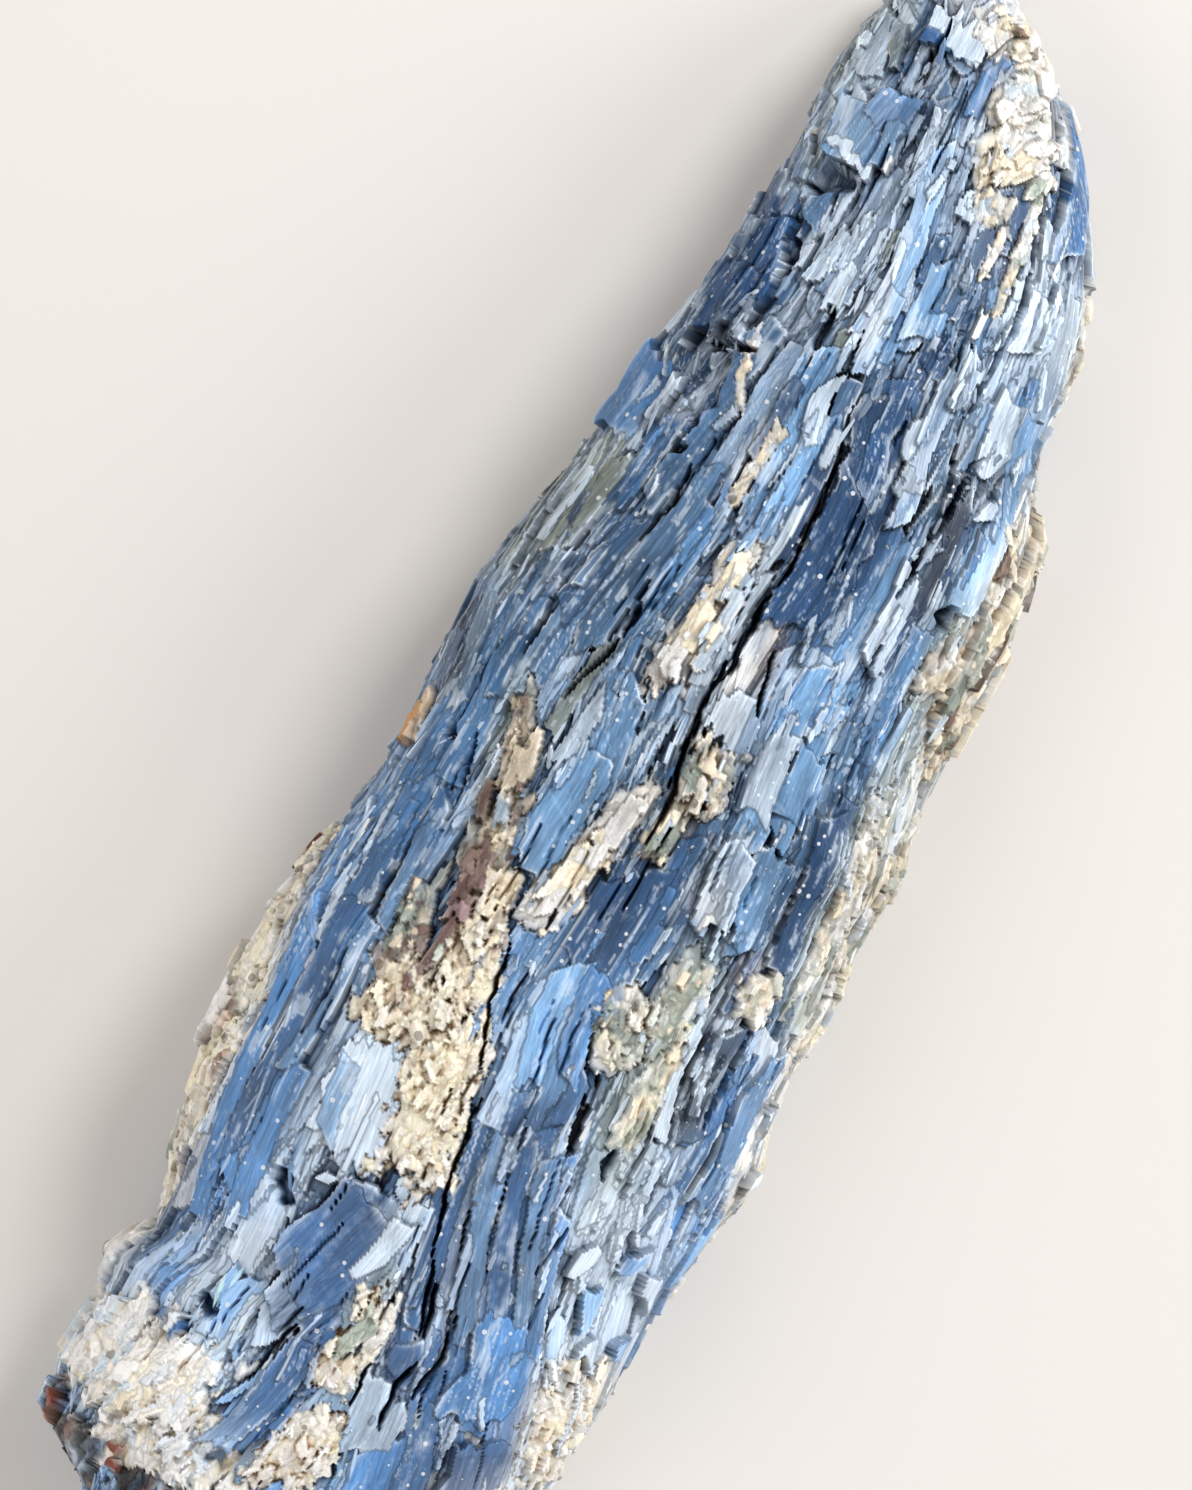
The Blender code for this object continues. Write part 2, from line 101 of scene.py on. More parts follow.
def to_linear(colour: tuple[float, float, float]) -> np.ndarray:
    """Turns an sRGB colour, 0 to 1, into a scene-linear one."""
    colour = np.array(colour)
    return np.where(colour <= 0.04045, colour / 12.92, ((colour + 0.055) / 1.055) ** 2.4)


def unit(vectors: np.ndarray) -> np.ndarray:
    """Scales each row to length one."""
    return vectors / np.maximum(np.linalg.norm(vectors, axis=-1, keepdims=True), LEAST_GAP)


def walked(points: np.ndarray) -> np.ndarray:
    """Gives the way along a row of points up to each of them."""
    return np.concatenate([[0.0], np.cumsum(np.linalg.norm(np.diff(points, axis=0), axis=1))])


def mixed(first: np.ndarray, second: np.ndarray, share: object) -> np.ndarray:
    """Blends two colours by the share of the second."""
    return (1 - share) * first + share * second


def step_between(values: np.ndarray, low: float, high: float) -> np.ndarray:
    """Rises smoothly from 0 at low to 1 at high."""
    share = np.clip((values - low) / (high - low), 0, 1)
    return share * share * (3 - 2 * share)


def value_noise(points: np.ndarray, size: float, seed: int) -> np.ndarray:
    """Smooth noise in space.

    Args:
        points: rows of x, y, z.
        size: the distance over which it changes.
        seed: picks one noise.

    Returns:
        A value from -1 to 1 for each point.
    """
    scaled = points / size + seed * 17.13
    cell = np.floor(scaled).astype(np.int64)
    part = scaled - cell
    part = part * part * (3 - 2 * part)
    total = np.zeros(len(points))
    for corner in range(8):
        step = np.array([corner & 1, corner >> 1 & 1, corner >> 2 & 1])
        at = cell + step
        key = (at[:, 0] * 73856093) ^ (at[:, 1] * 19349663) ^ (at[:, 2] * 83492791) ^ (seed * 2654435)
        value = ((key * 1103515245 + 12345) & 0xFFFFFF) / 0xFFFFFF * 2 - 1
        total += value * np.prod(np.where(step == 1, part, 1 - part), axis=1)
    return total


@dataclass
class Form:
    """The body that the blades stand on: superellipses lofted along the outline, as (along, value) tables."""

    centre: tuple[float, float, float] = (3.68, -2.82, 0.0)
    rim_share: float = 0.36
    upper_power: float = 2.7
    lower_power: float = 2.3
    lower_reach: float = 1.3
    rim_inset: float = 1.7
    left_edge: tuple[tuple[float, float], ...] = (
        (-93, -10), (-90, -17), (-86, -21.5), (-82, -26), (-77, -27), (-71, -25.6), (-65, -25.8),
        (-61, -23.4), (-56, -24), (-50, -25), (-42, -26.2), (-33, -25.8), (-26, -25), (-17, -22.5),
        (-10, -20.6), (-3, -19.8), (12, -19.2), (20, -17), (27, -14.5), (35, -13), (41, -12), (46, -10),
        (52, -8.3), (60, -7.3), (74, -5.6), (80, -4.6), (85, -2.8), (89, 0.5),
    )
    right_edge: tuple[tuple[float, float], ...] = (
        (-93, 2), (-90, 8), (-84, 16), (-76, 22), (-68, 24.6), (-60, 26.2), (-48, 27.2), (-42, 29),
        (-36, 30.5), (-32, 31.2), (-26, 30.4), (-14, 31.4), (-8, 31.6), (0, 33), (4, 32.3), (12, 32.3),
        (19, 33), (26, 33.7), (33, 33.2), (37, 32.4), (41, 30.4), (46, 28.9), (57, 29), (62, 27.4),
        (67, 25.4), (72, 22.8), (77, 19.4), (81, 16.2), (84.5, 12.6), (87.5, 8.6), (89, 6.5),
    )
    crest: tuple[tuple[float, float], ...] = (
        (-93, 16), (-86, 20.5), (-75, 23), (-60, 25), (-40, 26.5), (-10, 27), (20, 25.5), (45, 23),
        (65, 19.5), (80, 15), (89, 9),
    )

    def section(self, along: np.ndarray) -> tuple[np.ndarray, np.ndarray, np.ndarray]:
        """Gives each section's middle across x, half width and crest height."""
        tables = (self.left_edge, self.right_edge, self.crest)
        left, right, crest = (np.interp(along, *np.array(table).T) for table in tables)
        left, right = left + self.rim_inset, right - self.rim_inset
        return (left + right) / 2, (right - left) / 2, crest

    def at_angle(self, along: np.ndarray, angle: np.ndarray) -> tuple[np.ndarray, np.ndarray]:
        """Finds points on the form by their angle round the section from +X.

        Args:
            along: places along the cluster.
            angle: radians, one for each place or one for all.

        Returns:
            The points and the outward normals.
        """
        along, angle = np.broadcast_arrays(np.asarray(along, float), np.asarray(angle, float))
        middle, half, crest = self.section(along)
        rim = self.rim_share * crest
        cos, sin = np.cos(angle), np.sin(angle)
        power = np.where(sin >= 0, self.upper_power, self.lower_power)
        rise = np.where(sin >= 0, crest - rim, rim * self.lower_reach)
        across = np.sign(cos) * np.abs(cos) ** (2 / power)
        height = np.sign(sin) * np.abs(sin) ** (2 / power)
        points = np.stack([middle + half * across, along, rim + rise * height], -1)
        facing = np.sign(across) * np.abs(across) ** (power - 1) / half
        upward = np.sign(height) * np.abs(height) ** (power - 1) / rise
        return points, unit(np.stack([facing, np.zeros_like(along), upward], -1))

    def world(self, points: np.ndarray) -> np.ndarray:
        """Moves points from the drawing into the shared frame, in metres."""
        return (points - np.array(self.centre)) * MM


@dataclass
class Flow:
    """Which way the blades run: x, y and the degrees that their heads lean towards +X there."""

    samples: tuple[tuple[float, float, float], ...] = (
        (-4, 70, 7), (1, 72, 5), (8, 72, 0), (15, 70, -7), (21, 70, -24), (20, 60, -8), (25, 56, -5),
        (-5, 55, 7), (4, 56, 5), (12, 58, -1), (-8, 44, 13), (-10, 30, 12), (-3, 36, 15), (-5, 16, 15),
        (3, 34, 9), (5, 15, 7), (9, 22, 4), (14, 32, 1), (20, 36, 9), (20, 20, 3), (26, 36, 0),
        (30, 24, -2), (-16, 14, 10), (-16, 0, 5), (-14, -18, 7), (-18, -40, 5), (-13, -44, 4), (0, -4, 6),
        (7, -14, 10), (17, 0, 2), (22, -8, 2), (28, -10, 0), (12, -26, 0), (5, -40, -7), (9, -60, -7),
        (14, -48, -4), (16, -30, 0), (22, -26, 0), (27, -34, 0), (20, -56, -4), (14, -68, -6),
        (-5, -58, 21), (-12, -66, 14), (-7, -72, 22), (0, -84, -2), (-20, -74, 5), (20, -74, -8),
    )
    reach_across: float = 4.5
    reach_along: float = 9.0
    evenness: float = 0.35
    falloff: float = 1.6

    def lean(self, across: np.ndarray, along: np.ndarray) -> np.ndarray:
        """Gives the lean at places, in radians."""
        rows = np.array(self.samples, float)
        away = ((np.asarray(across)[..., None] - rows[:, 0]) / self.reach_across) ** 2
        away = away + ((np.asarray(along)[..., None] - rows[:, 1]) / self.reach_along) ** 2
        weight = 1 / (away + self.evenness) ** self.falloff
        return np.radians((weight * rows[:, 2]).sum(-1) / weight.sum(-1))


@dataclass
class Colouring:
    """Where each colour shows: x, y, half width, half length, lean in degrees, tone."""

    # zones in SHADE are painted shade laid over recesses and crevices
    zones: tuple[tuple, ...] = (
        # the head
        (5.5, 83, 2.6, 3.6, 0, WHITE), (11.5, 83, 3.8, 3.4, 0, CREAM), (14, 73, 3.2, 3, 20, CREAM),
        (-2, 77, 2.6, 6, 6, OLIVE), (2.8, 77, 1.8, 4.4, 8, NAVY), (5.2, 72, 1.8, 6, 3, SLATE),
        (1, 68, 4.2, 3.4, 0, ICE), (0, 60, 3.2, 3.6, 0, NAVY), (-4.6, 55, 2.8, 9, 6, NAVY),
        (5, 58, 3.4, 7, 4, GREY), (3.5, 47, 1.6, 3.4, 0, SHADE), (8.8, 48.6, 0.9, 3.6, 0, WHITE),
        (12.6, 67, 2.8, 5, 0, GREY), (16.4, 65, 1.6, 5.4, -5, NAVY), (19.3, 59, 0.8, 12, -2, SHADE),
        (23.6, 55, 3.4, 6.4, 0, ICE), (20.6, 71, 1.6, 9, -24, NAVY), (24, 69, 1.3, 8, -24, ICE),
        (27.6, 56, 1.4, 6, 0, CREAM), (12, 56, 2.6, 9, 0, SKY),
        # above the middle
        (15, 49, 1.8, 4, 0, NAVY), (-4.8, 47.6, 3.2, 3.6, 5, NAVY), (-5, 39, 2.2, 5, 10, SHADE),
        (-4.4, 33, 1.6, 1.1, 0, WHITE), (-9.6, 36, 2.8, 6.6, 12, STEEL), (-11.4, 22, 2.6, 8.6, 14, OLIVE),
        (-6, 24, 2.6, 14, 16, STEEL), (-1.4, 30, 2.8, 18, 14, SLATE), (6, 36, 2.8, 10.6, 4, SKY),
        (3, 32.6, 1, 3.6, 9, CREAM), (6.6, 17.5, 1.3, 7.6, 7, ICE), (8.6, 20, 0.7, 16, 5, SHADE),
        (13.8, 32, 3.8, 12, 1, NAVY), (17.6, 42.5, 1.5, 7.6, 0, SKY), (21.2, 36.5, 0.7, 6.6, 11, SHADE),
        (23.6, 46, 3.4, 5.6, 0, SKY), (20.4, 23, 1.8, 6.4, 4, SKY), (26.3, 37, 1.3, 8.6, 0, SKY),
        (23.6, 32, 1.5, 7.6, 0, SHADE), (30.6, 26, 2.8, 14, 0, CREAM), (27.4, 20, 1.6, 9, 0, OLIVE),
        (-11.6, 13, 1.6, 2.2, 0, NAVY), (-15.4, 3.5, 1.6, 3.8, 0, SHADE), (10, 8, 1.4, 3.8, 5, WHITE),
        (12.2, 13.8, 0.8, 3.4, 0, BROWN),
        # below the middle
        (-15.2, -16, 3.2, 8.6, 6, STEEL), (0.4, -4, 4.4, 9.6, 6, SKY), (8, -15, 3.4, 9.4, 9, NAVY),
        (18, 2, 3.8, 14, 1, SKY), (15.7, -10.6, 1.6, 1.9, 0, WHITE), (23.6, -4.5, 1.6, 9.4, 1, NAVY),
        (27, -8, 1.9, 12, 0, OLIVE), (30.4, -5, 1.6, 15, 0, CREAM), (22.8, -16.2, 1.8, 2.3, 0, BROWN),
        (-7.4, -8, 1.5, 9, -10, OLIVE),
        # towards the foot
        (-16.6, -38, 2.6, 20, 4, STEEL), (-13.2, -40, 1.4, 12, 4, SLATE), (-8.6, -40, 3.4, 8.6, 0, ICE),
        (7.4, -28.5, 4.4, 6.6, 0, SKY), (8.6, -47, 4.6, 13, -8, NAVY), (17.5, -29, 2.6, 10.6, 0, OLIVE),
        (21.8, -25, 1.8, 6.4, 0, SHADE), (25.8, -33, 2.2, 14.6, 0, STEEL), (29.4, -32, 1.3, 12, 0, CREAM),
        (20, -50, 4.6, 8, 0, ICE), (-4.8, -56, 4, 7, 20, NAVY), (-0.2, -53, 1.5, 4.6, 5, ICE),
        (-12.4, -65, 3, 5.2, 15, ICE), (-7.6, -63, 2.2, 3.4, 10, GREY), (-5.2, -70, 1.8, 8.6, 22, NAVY),
        (0.4, -61, 1.8, 4.2, 0, OLIVE), (7.6, -66, 3.8, 12, -7, NAVY), (14.6, -66, 3.4, 9, -5, STEEL),
        (21.6, -64, 3.2, 6.4, 0, CREAM), (-20.6, -58.5, 1.5, 5.6, 0, NAVY), (-16, -77, 7, 6, 0, ICE),
        (17, -78, 3, 6, -8, CREAM), (-23, -40, 2.2, 20, 0, CREAM), (3.5, -78, 1.6, 7, -3, SKY),
    )
    spread: float = 0.30
    base_share: float = 0.05
    border: float = 1.7

    def at(self, across: np.ndarray, along: np.ndarray, rng: np.random.Generator) -> np.ndarray:
        """Mixes the tones that reach each place, with ragged borders.

        Args:
            across: x of each place.
            along: y of each place.
            rng: the seeded source of the raggedness.

        Returns:
            One linear colour for each place.
        """
        shift = rng.normal(0.0, self.spread, 2)
        x, y = np.asarray(across) + shift[0], np.asarray(along) + 3 * shift[1]
        total = np.full(x.shape, self.base_share)
        colour = total[..., None] * (STEEL.linear() * 0.6 + SKY.linear() * 0.4)
        for zone_x, zone_y, half_x, half_y, lean, tone in self.zones:
            turn = math.radians(lean)
            dx, dy = x - zone_x, y - zone_y
            side = dx * math.cos(turn) - dy * math.sin(turn)
            run = dx * math.sin(turn) + dy * math.cos(turn)
            weight = np.exp(-(((side / half_x) ** 2 + (run / half_y) ** 2) ** self.border))
            colour = colour + weight[..., None] * tone.linear()
            total = total + weight
        return colour / total[..., None]


def varied(tone: np.ndarray, rng: np.random.Generator, amount: float) -> np.ndarray:
    """Shifts a blade's colour in lightness and, for some blades, towards pale or deep."""
    tone = tone * math.exp(rng.normal(0.0, amount))
    pick, share = rng.random(), rng.uniform(0.3, 0.75)
    for below, other in ((0.16, ICE), (0.36, NAVY), (0.42, GREY)):
        if pick < below:
            tone = mixed(tone, other.linear(), share)
            break
    return np.clip(tone, 0.0, 0.95)


def put(mesh: bpy.types.Mesh, **values: np.ndarray) -> None:
    """Stores values on a mesh's points: tone as a colour, one number as a float, three as a vector."""
    kinds = {1: ("FLOAT", "value"), 3: ("FLOAT_VECTOR", "vector"), 4: ("FLOAT_COLOR", "color")}
    for name, rows in values.items():
        if name == "tone":
            rows = np.concatenate([rows, np.ones((len(rows), 1))], 1)
        kind, key = kinds[1 if rows.ndim == 1 else rows.shape[1]]
        made = mesh.attributes.new(name, kind, "POINT")
        made.data.foreach_set(key, np.ascontiguousarray(rows, np.float32).ravel())


def sheet_mesh(name: str, points: np.ndarray, quads: np.ndarray, ends: list,
               sharp: float = 38.0) -> bpy.types.Mesh:
    """Builds a mesh from quads and a few many-sided ends, smooth but for edges over sharp degrees."""
    mesh = bpy.data.meshes.new(name)
    mesh.vertices.add(len(points))
    mesh.vertices.foreach_set("co", points.astype(np.float32).ravel())
    corners = np.concatenate([quads.ravel(), *ends]).astype(np.int32)
    mesh.loops.add(len(corners))
    mesh.loops.foreach_set("vertex_index", corners)
    sizes = np.concatenate([np.full(len(quads), 4), [len(end) for end in ends]]).astype(int)
    mesh.polygons.add(len(sizes))
    mesh.polygons.foreach_set("loop_start", np.concatenate([[0], np.cumsum(sizes)[:-1]]).astype(np.int32))
    mesh.update(calc_edges=True)
    mesh.shade_smooth()
    mesh.set_sharp_from_angle(angle=math.radians(sharp))
    return mesh


def linked(name: str, data: bpy.types.ID) -> bpy.types.Object:
    """Puts a mesh, a light or a camera into the scene as an object."""
    made = bpy.data.objects.new(name, data)
    bpy.context.scene.collection.objects.link(made)
    return made


@dataclass
class Sheaf:
    """Gathers lamellae, each a thin closed strip with bevelled edges, into one mesh."""

    form: Form
    rings: list = field(default_factory=list)
    quads: list = field(default_factory=list)
    caps: list = field(default_factory=list)
    tones: list = field(default_factory=list)
    strands: list = field(default_factory=list)
    traits: list = field(default_factory=list)
    count: int = 0
    sharp: float = 24.0

    def add(self, spine: np.ndarray, normal: np.ndarray, half: np.ndarray, rise: np.ndarray, tilt: float,
            thick: float, tone: np.ndarray, milk: float, slants: tuple[float, float], number: int) -> None:
        """Adds one lamella.

        Args:
            spine: points from foot to head.
            normal: the outward normal.
            half: half width at each point.
            rise: height of the upper face over the spine at each point.
            tilt: degrees that the lamella is turned about its length.
            thick: how deep its sides go below the spine.
            tone: linear colour at each point.
            milk: how milky it is, 0 to 1.
            slants: how far the foot and the head are cut slanting, times the half width.
            number: a number of its own for the patterns.
        """
        length = len(spine)
        run = unit(np.gradient(spine, axis=0))
        side = unit(np.cross(run, normal))
        up = np.cross(side, run)
        cos, sin = math.cos(math.radians(tilt)), math.sin(math.radians(tilt))
        side, up = cos * side + sin * up, cos * up - sin * side
        bevel = np.minimum(0.22 * half, 0.13)
        across = np.stack([-half, -half, bevel - half, half - bevel, half, half], 1)
        low = -thick + 0 * half
        height = np.stack([low, rise - bevel, rise, rise, rise - bevel, low], 1)
        ring = spine[:, None] + across[..., None] * side[:, None] + height[..., None] * up[:, None]
        share = across / np.maximum(half, 1e-3)[:, None]
        for end, slant in zip((0, -1), slants):
            ring[end] += (share[end] * half[end] * slant)[:, None] * run[end]
        ring[..., 2] = np.maximum(ring[..., 2], 0.02)
        start = np.arange(length - 1)[:, None] * 6 + self.count
        here, after = start + np.arange(6), start + (np.arange(6) + 1) % 6
        self.quads.append(np.stack([here, after, after + 6, here + 6], -1).reshape(-1, 4))
        self.caps += [np.arange(6)[::-1] + self.count, np.arange(6) + self.count + 6 * (length - 1)]
        strand = np.stack([across + height * np.array([1, 0.5, 0, 0, -0.5, -1]),
                           np.repeat(walked(spine)[:, None], 6, 1), np.full((length, 6), float(number))], -1)
        # deep marks the lower sides, where the shader fades pale marks as painted shade
        deep = np.tile(np.array([1.0, 0.12, 0, 0, 0.12, 1.0]), (length, 1))
        self.rings.append(ring.reshape(-1, 3))
        self.strands.append(strand.reshape(-1, 3))
        self.traits.append(np.stack([np.full((length, 6), milk), deep, np.abs(share)], -1).reshape(-1, 3))
        self.tones.append(np.repeat(tone, 6, 0))
        self.count += 6 * length

    def build(self, name: str) -> bpy.types.Object:
        """Makes the mesh object of everything added."""
        points = self.form.world(np.concatenate(self.rings))
        mesh = sheet_mesh(name, points, np.concatenate(self.quads), self.caps, self.sharp)
        put(mesh, tone=np.concatenate(self.tones), strand=np.concatenate(self.strands),
            traits=np.concatenate(self.traits))
        return linked(name, mesh)


@dataclass
class FootEnds:
    """The stacks of lamellae broken off across the foot; rows give degrees and how short each stack is."""

    form: Form
    colouring: Colouring
    pitch: float = 1.25
    waver: float = 0.12
    step: tuple[float, float] = (0.08, 0.45)
    taper: tuple[float, float] = (0.3, 2.4)
    break_length: float = 0.07
    root: float = 2.2
    lamella: float = 2.0
    end: float = -93.0
    inner: int = 34
    rows: tuple[tuple[float, float], ...] = (
        (8, 2), (20, 1), (32, 0.4), (42, 1.8), (52, 1.6), (62, 0.7), (72, 0), (82, 1.4), (92, 1.2),
        (102, 0.2), (112, 0.3), (121, 1.5), (130, 2.2), (141, 1.1), (152, 0.8), (164, 1.8), (176, 2.6),
        (188, 1.4), (200, 1), (-8, 0.4), (-20, 0.9), (-32, 1.6), (212, 2),
    )

    def stations(self, length: float, breaks: int, rng: np.random.Generator) -> tuple[np.ndarray, np.ndarray]:
        """Places the stations of one lamella, with a close pair at each cross break.

        Args:
            length: the lamella's length.
            breaks: how many cross breaks it has.
            rng: the seeded source.

        Returns:
            The stations and the height at each.
        """
        count = max(4, int(length / self.pitch))
        places = np.linspace(0.0, length, count)
        places[1:-1] += rng.uniform(-0.3, 0.3, count - 2) * self.pitch
        cuts = np.sort(rng.uniform(0.08, 0.92, breaks)) * length
        places = np.sort(np.concatenate([places, cuts, cuts + self.break_length]))
        rise = np.zeros(len(places))
        for cut in cuts:
            drop = rng.uniform(*self.step) * rng.choice([-1.0, 1.0])
            rise += drop * np.clip((places - cut) / self.break_length, 0, 1)
        rise -= rise.mean()
        wave = rng.uniform(3, 9)
        rise += 0.05 * np.sin(places / wave * 2 * math.pi + rng.uniform(0, 6.3))
        return places, rise

    def width(self, places: np.ndarray, half: float, rng: np.random.Generator) -> np.ndarray:
        """Varies the half width along a lamella and narrows it to its ends."""
        noise = 1 + self.waver * rng.uniform(-1, 1, len(places))
        ends = rng.uniform(*self.taper, 2)
        least = rng.uniform(0.12, 0.75, 2)
        near_foot = np.clip(places / ends[0], 0, 1)
        near_head = np.clip((places[-1] - places) / ends[1], 0, 1)
        foot, head = (low + (1 - low) * near for low, near in zip(least, (near_foot, near_head)))
        return half * noise * foot * head

    def stack(self, sheaf: Sheaf, ends: np.ndarray, normals: np.ndarray, width: float, height: float,
              tilt: float, number: int, rng: np.random.Generator) -> None:
        """Adds one blade as lamellae side by side.

        Args:
            sheaf: where the lamellae go.
            ends: the foot and the head on the form.
            normals: the outward normals there.
            width: the blade's width.
            height: how high it stands over the form.
            tilt: degrees that it is turned about its length.
            number: the first lamella's number.
            rng: the seeded source.
        """
        normal = unit(normals.sum(0))
        run = unit(ends[1] - ends[0])
        side = unit(np.cross(run, normal))
        turn = math.radians(tilt)
        leaned = math.cos(turn) * side + math.sin(turn) * np.cross(side, run)
        count = max(1, round(width / (self.lamella * rng.uniform(0.6, 1.5))))
        inner = np.linspace(-0.5, 0.5, count + 1)[1:-1] + rng.uniform(-0.32, 0.32, count - 1) / count
        edges = np.sort(np.concatenate([[-0.5, 0.5], inner])) * width
        base = rng.normal(0.0, 0.14)
        whole = math.exp(rng.normal(0.0, 0.16))
        length = np.linalg.norm(ends[1] - ends[0])
        for index, (left, right) in enumerate(zip(edges, edges[1:])):
            outer = index in (0, count - 1)
            low, high = rng.uniform(-1.8, 1.2, 2) * (1.6 if outer else 1.0)
            places, rise = self.stations(length + low + high, int(rng.integers(1, 5)), rng)
            spine = ends[0] + (places - low)[:, None] * run + (left + right) / 2 * leaned
            rise = rise * 0.7 + base + rng.normal(0.0, 0.16) - (0.45 if rng.random() < 0.10 else 0.0)
            rise = rise - (rng.uniform(0.0, 0.35) if outer else 0.0)
            half = self.width(places, (right - left) / 2, rng)
            half = np.maximum(half, 0.5 * (right - left) * 0.35)
            tone = self.colouring.at(spine[:, 0], spine[:, 1], rng)
            tone = varied(tone * whole, rng, 0.2)
            sheaf.add(spine + normal * height, normal, half, rise, tilt + rng.normal(0, 6),
                      self.root + height, tone, rng.random() ** 2,
                      (rng.uniform(-1.2, 1.2), rng.uniform(-1.2, 1.2)), number + index)

    def build(self, name: str, rng: np.random.Generator) -> bpy.types.Object:
        """Makes the blades round the broken foot and those inside it."""
        sheaf = Sheaf(self.form)
        for index, (degrees, short) in enumerate(self.rows):
            places = np.array([self.end + short + 4.0, self.end + short + 17.0])
            ends, normals = self.form.at_angle(places, math.radians(degrees))
            ends[0] -= unit(ends[1] - ends[0]) * 3.0
            self.stack(sheaf, ends, normals, 3.6 * rng.uniform(0.8, 1.3), rng.uniform(0.2, 1.4),
                       rng.uniform(-9, 9), 12000 + 12 * index, rng)
        for index in range(self.inner):
            angle, share = rng.uniform(0, 2 * math.pi), math.sqrt(rng.random()) * 0.92
            middle, half, crest = (float(v[0]) for v in self.form.section(np.array([self.end + 1])))
            x = middle + share * half * math.cos(angle)
            z = crest * max(0.26, 0.5 + share * 0.46 * math.sin(angle))
            ends = np.array([[x, -92.4 + rng.uniform(-0.6, 1.6), z], [x + rng.normal(0, 0.4), -84.0, z]])
            normal = unit(np.array([[rng.normal(0, 0.5), 0.0, 1.0]]))
            self.stack(sheaf, ends, np.repeat(normal, 2, 0), rng.uniform(2.2, 5.0), 0.0,
                       rng.uniform(-12, 12), 13000 + 12 * index, rng)
        return sheaf.build(name)


@dataclass
class Stroke:
    """One blade, plate or flake to press into the skin, in unrolled millimetres.

    across and along place its middle; lean is the slope of its run (across per along).
    """

    across: float
    along: float
    lean: float
    half: float
    length: float
    height: float
    tone: np.ndarray
    tilt: float = 0.0
    slope: float = 0.0
    teeth: float = 0.8
    blend: float = 0.5
    milk: float = 0.3
    label: int = 0
    bevel: float = 0.12
    breaks: int = 2
    calm: float = 0.0


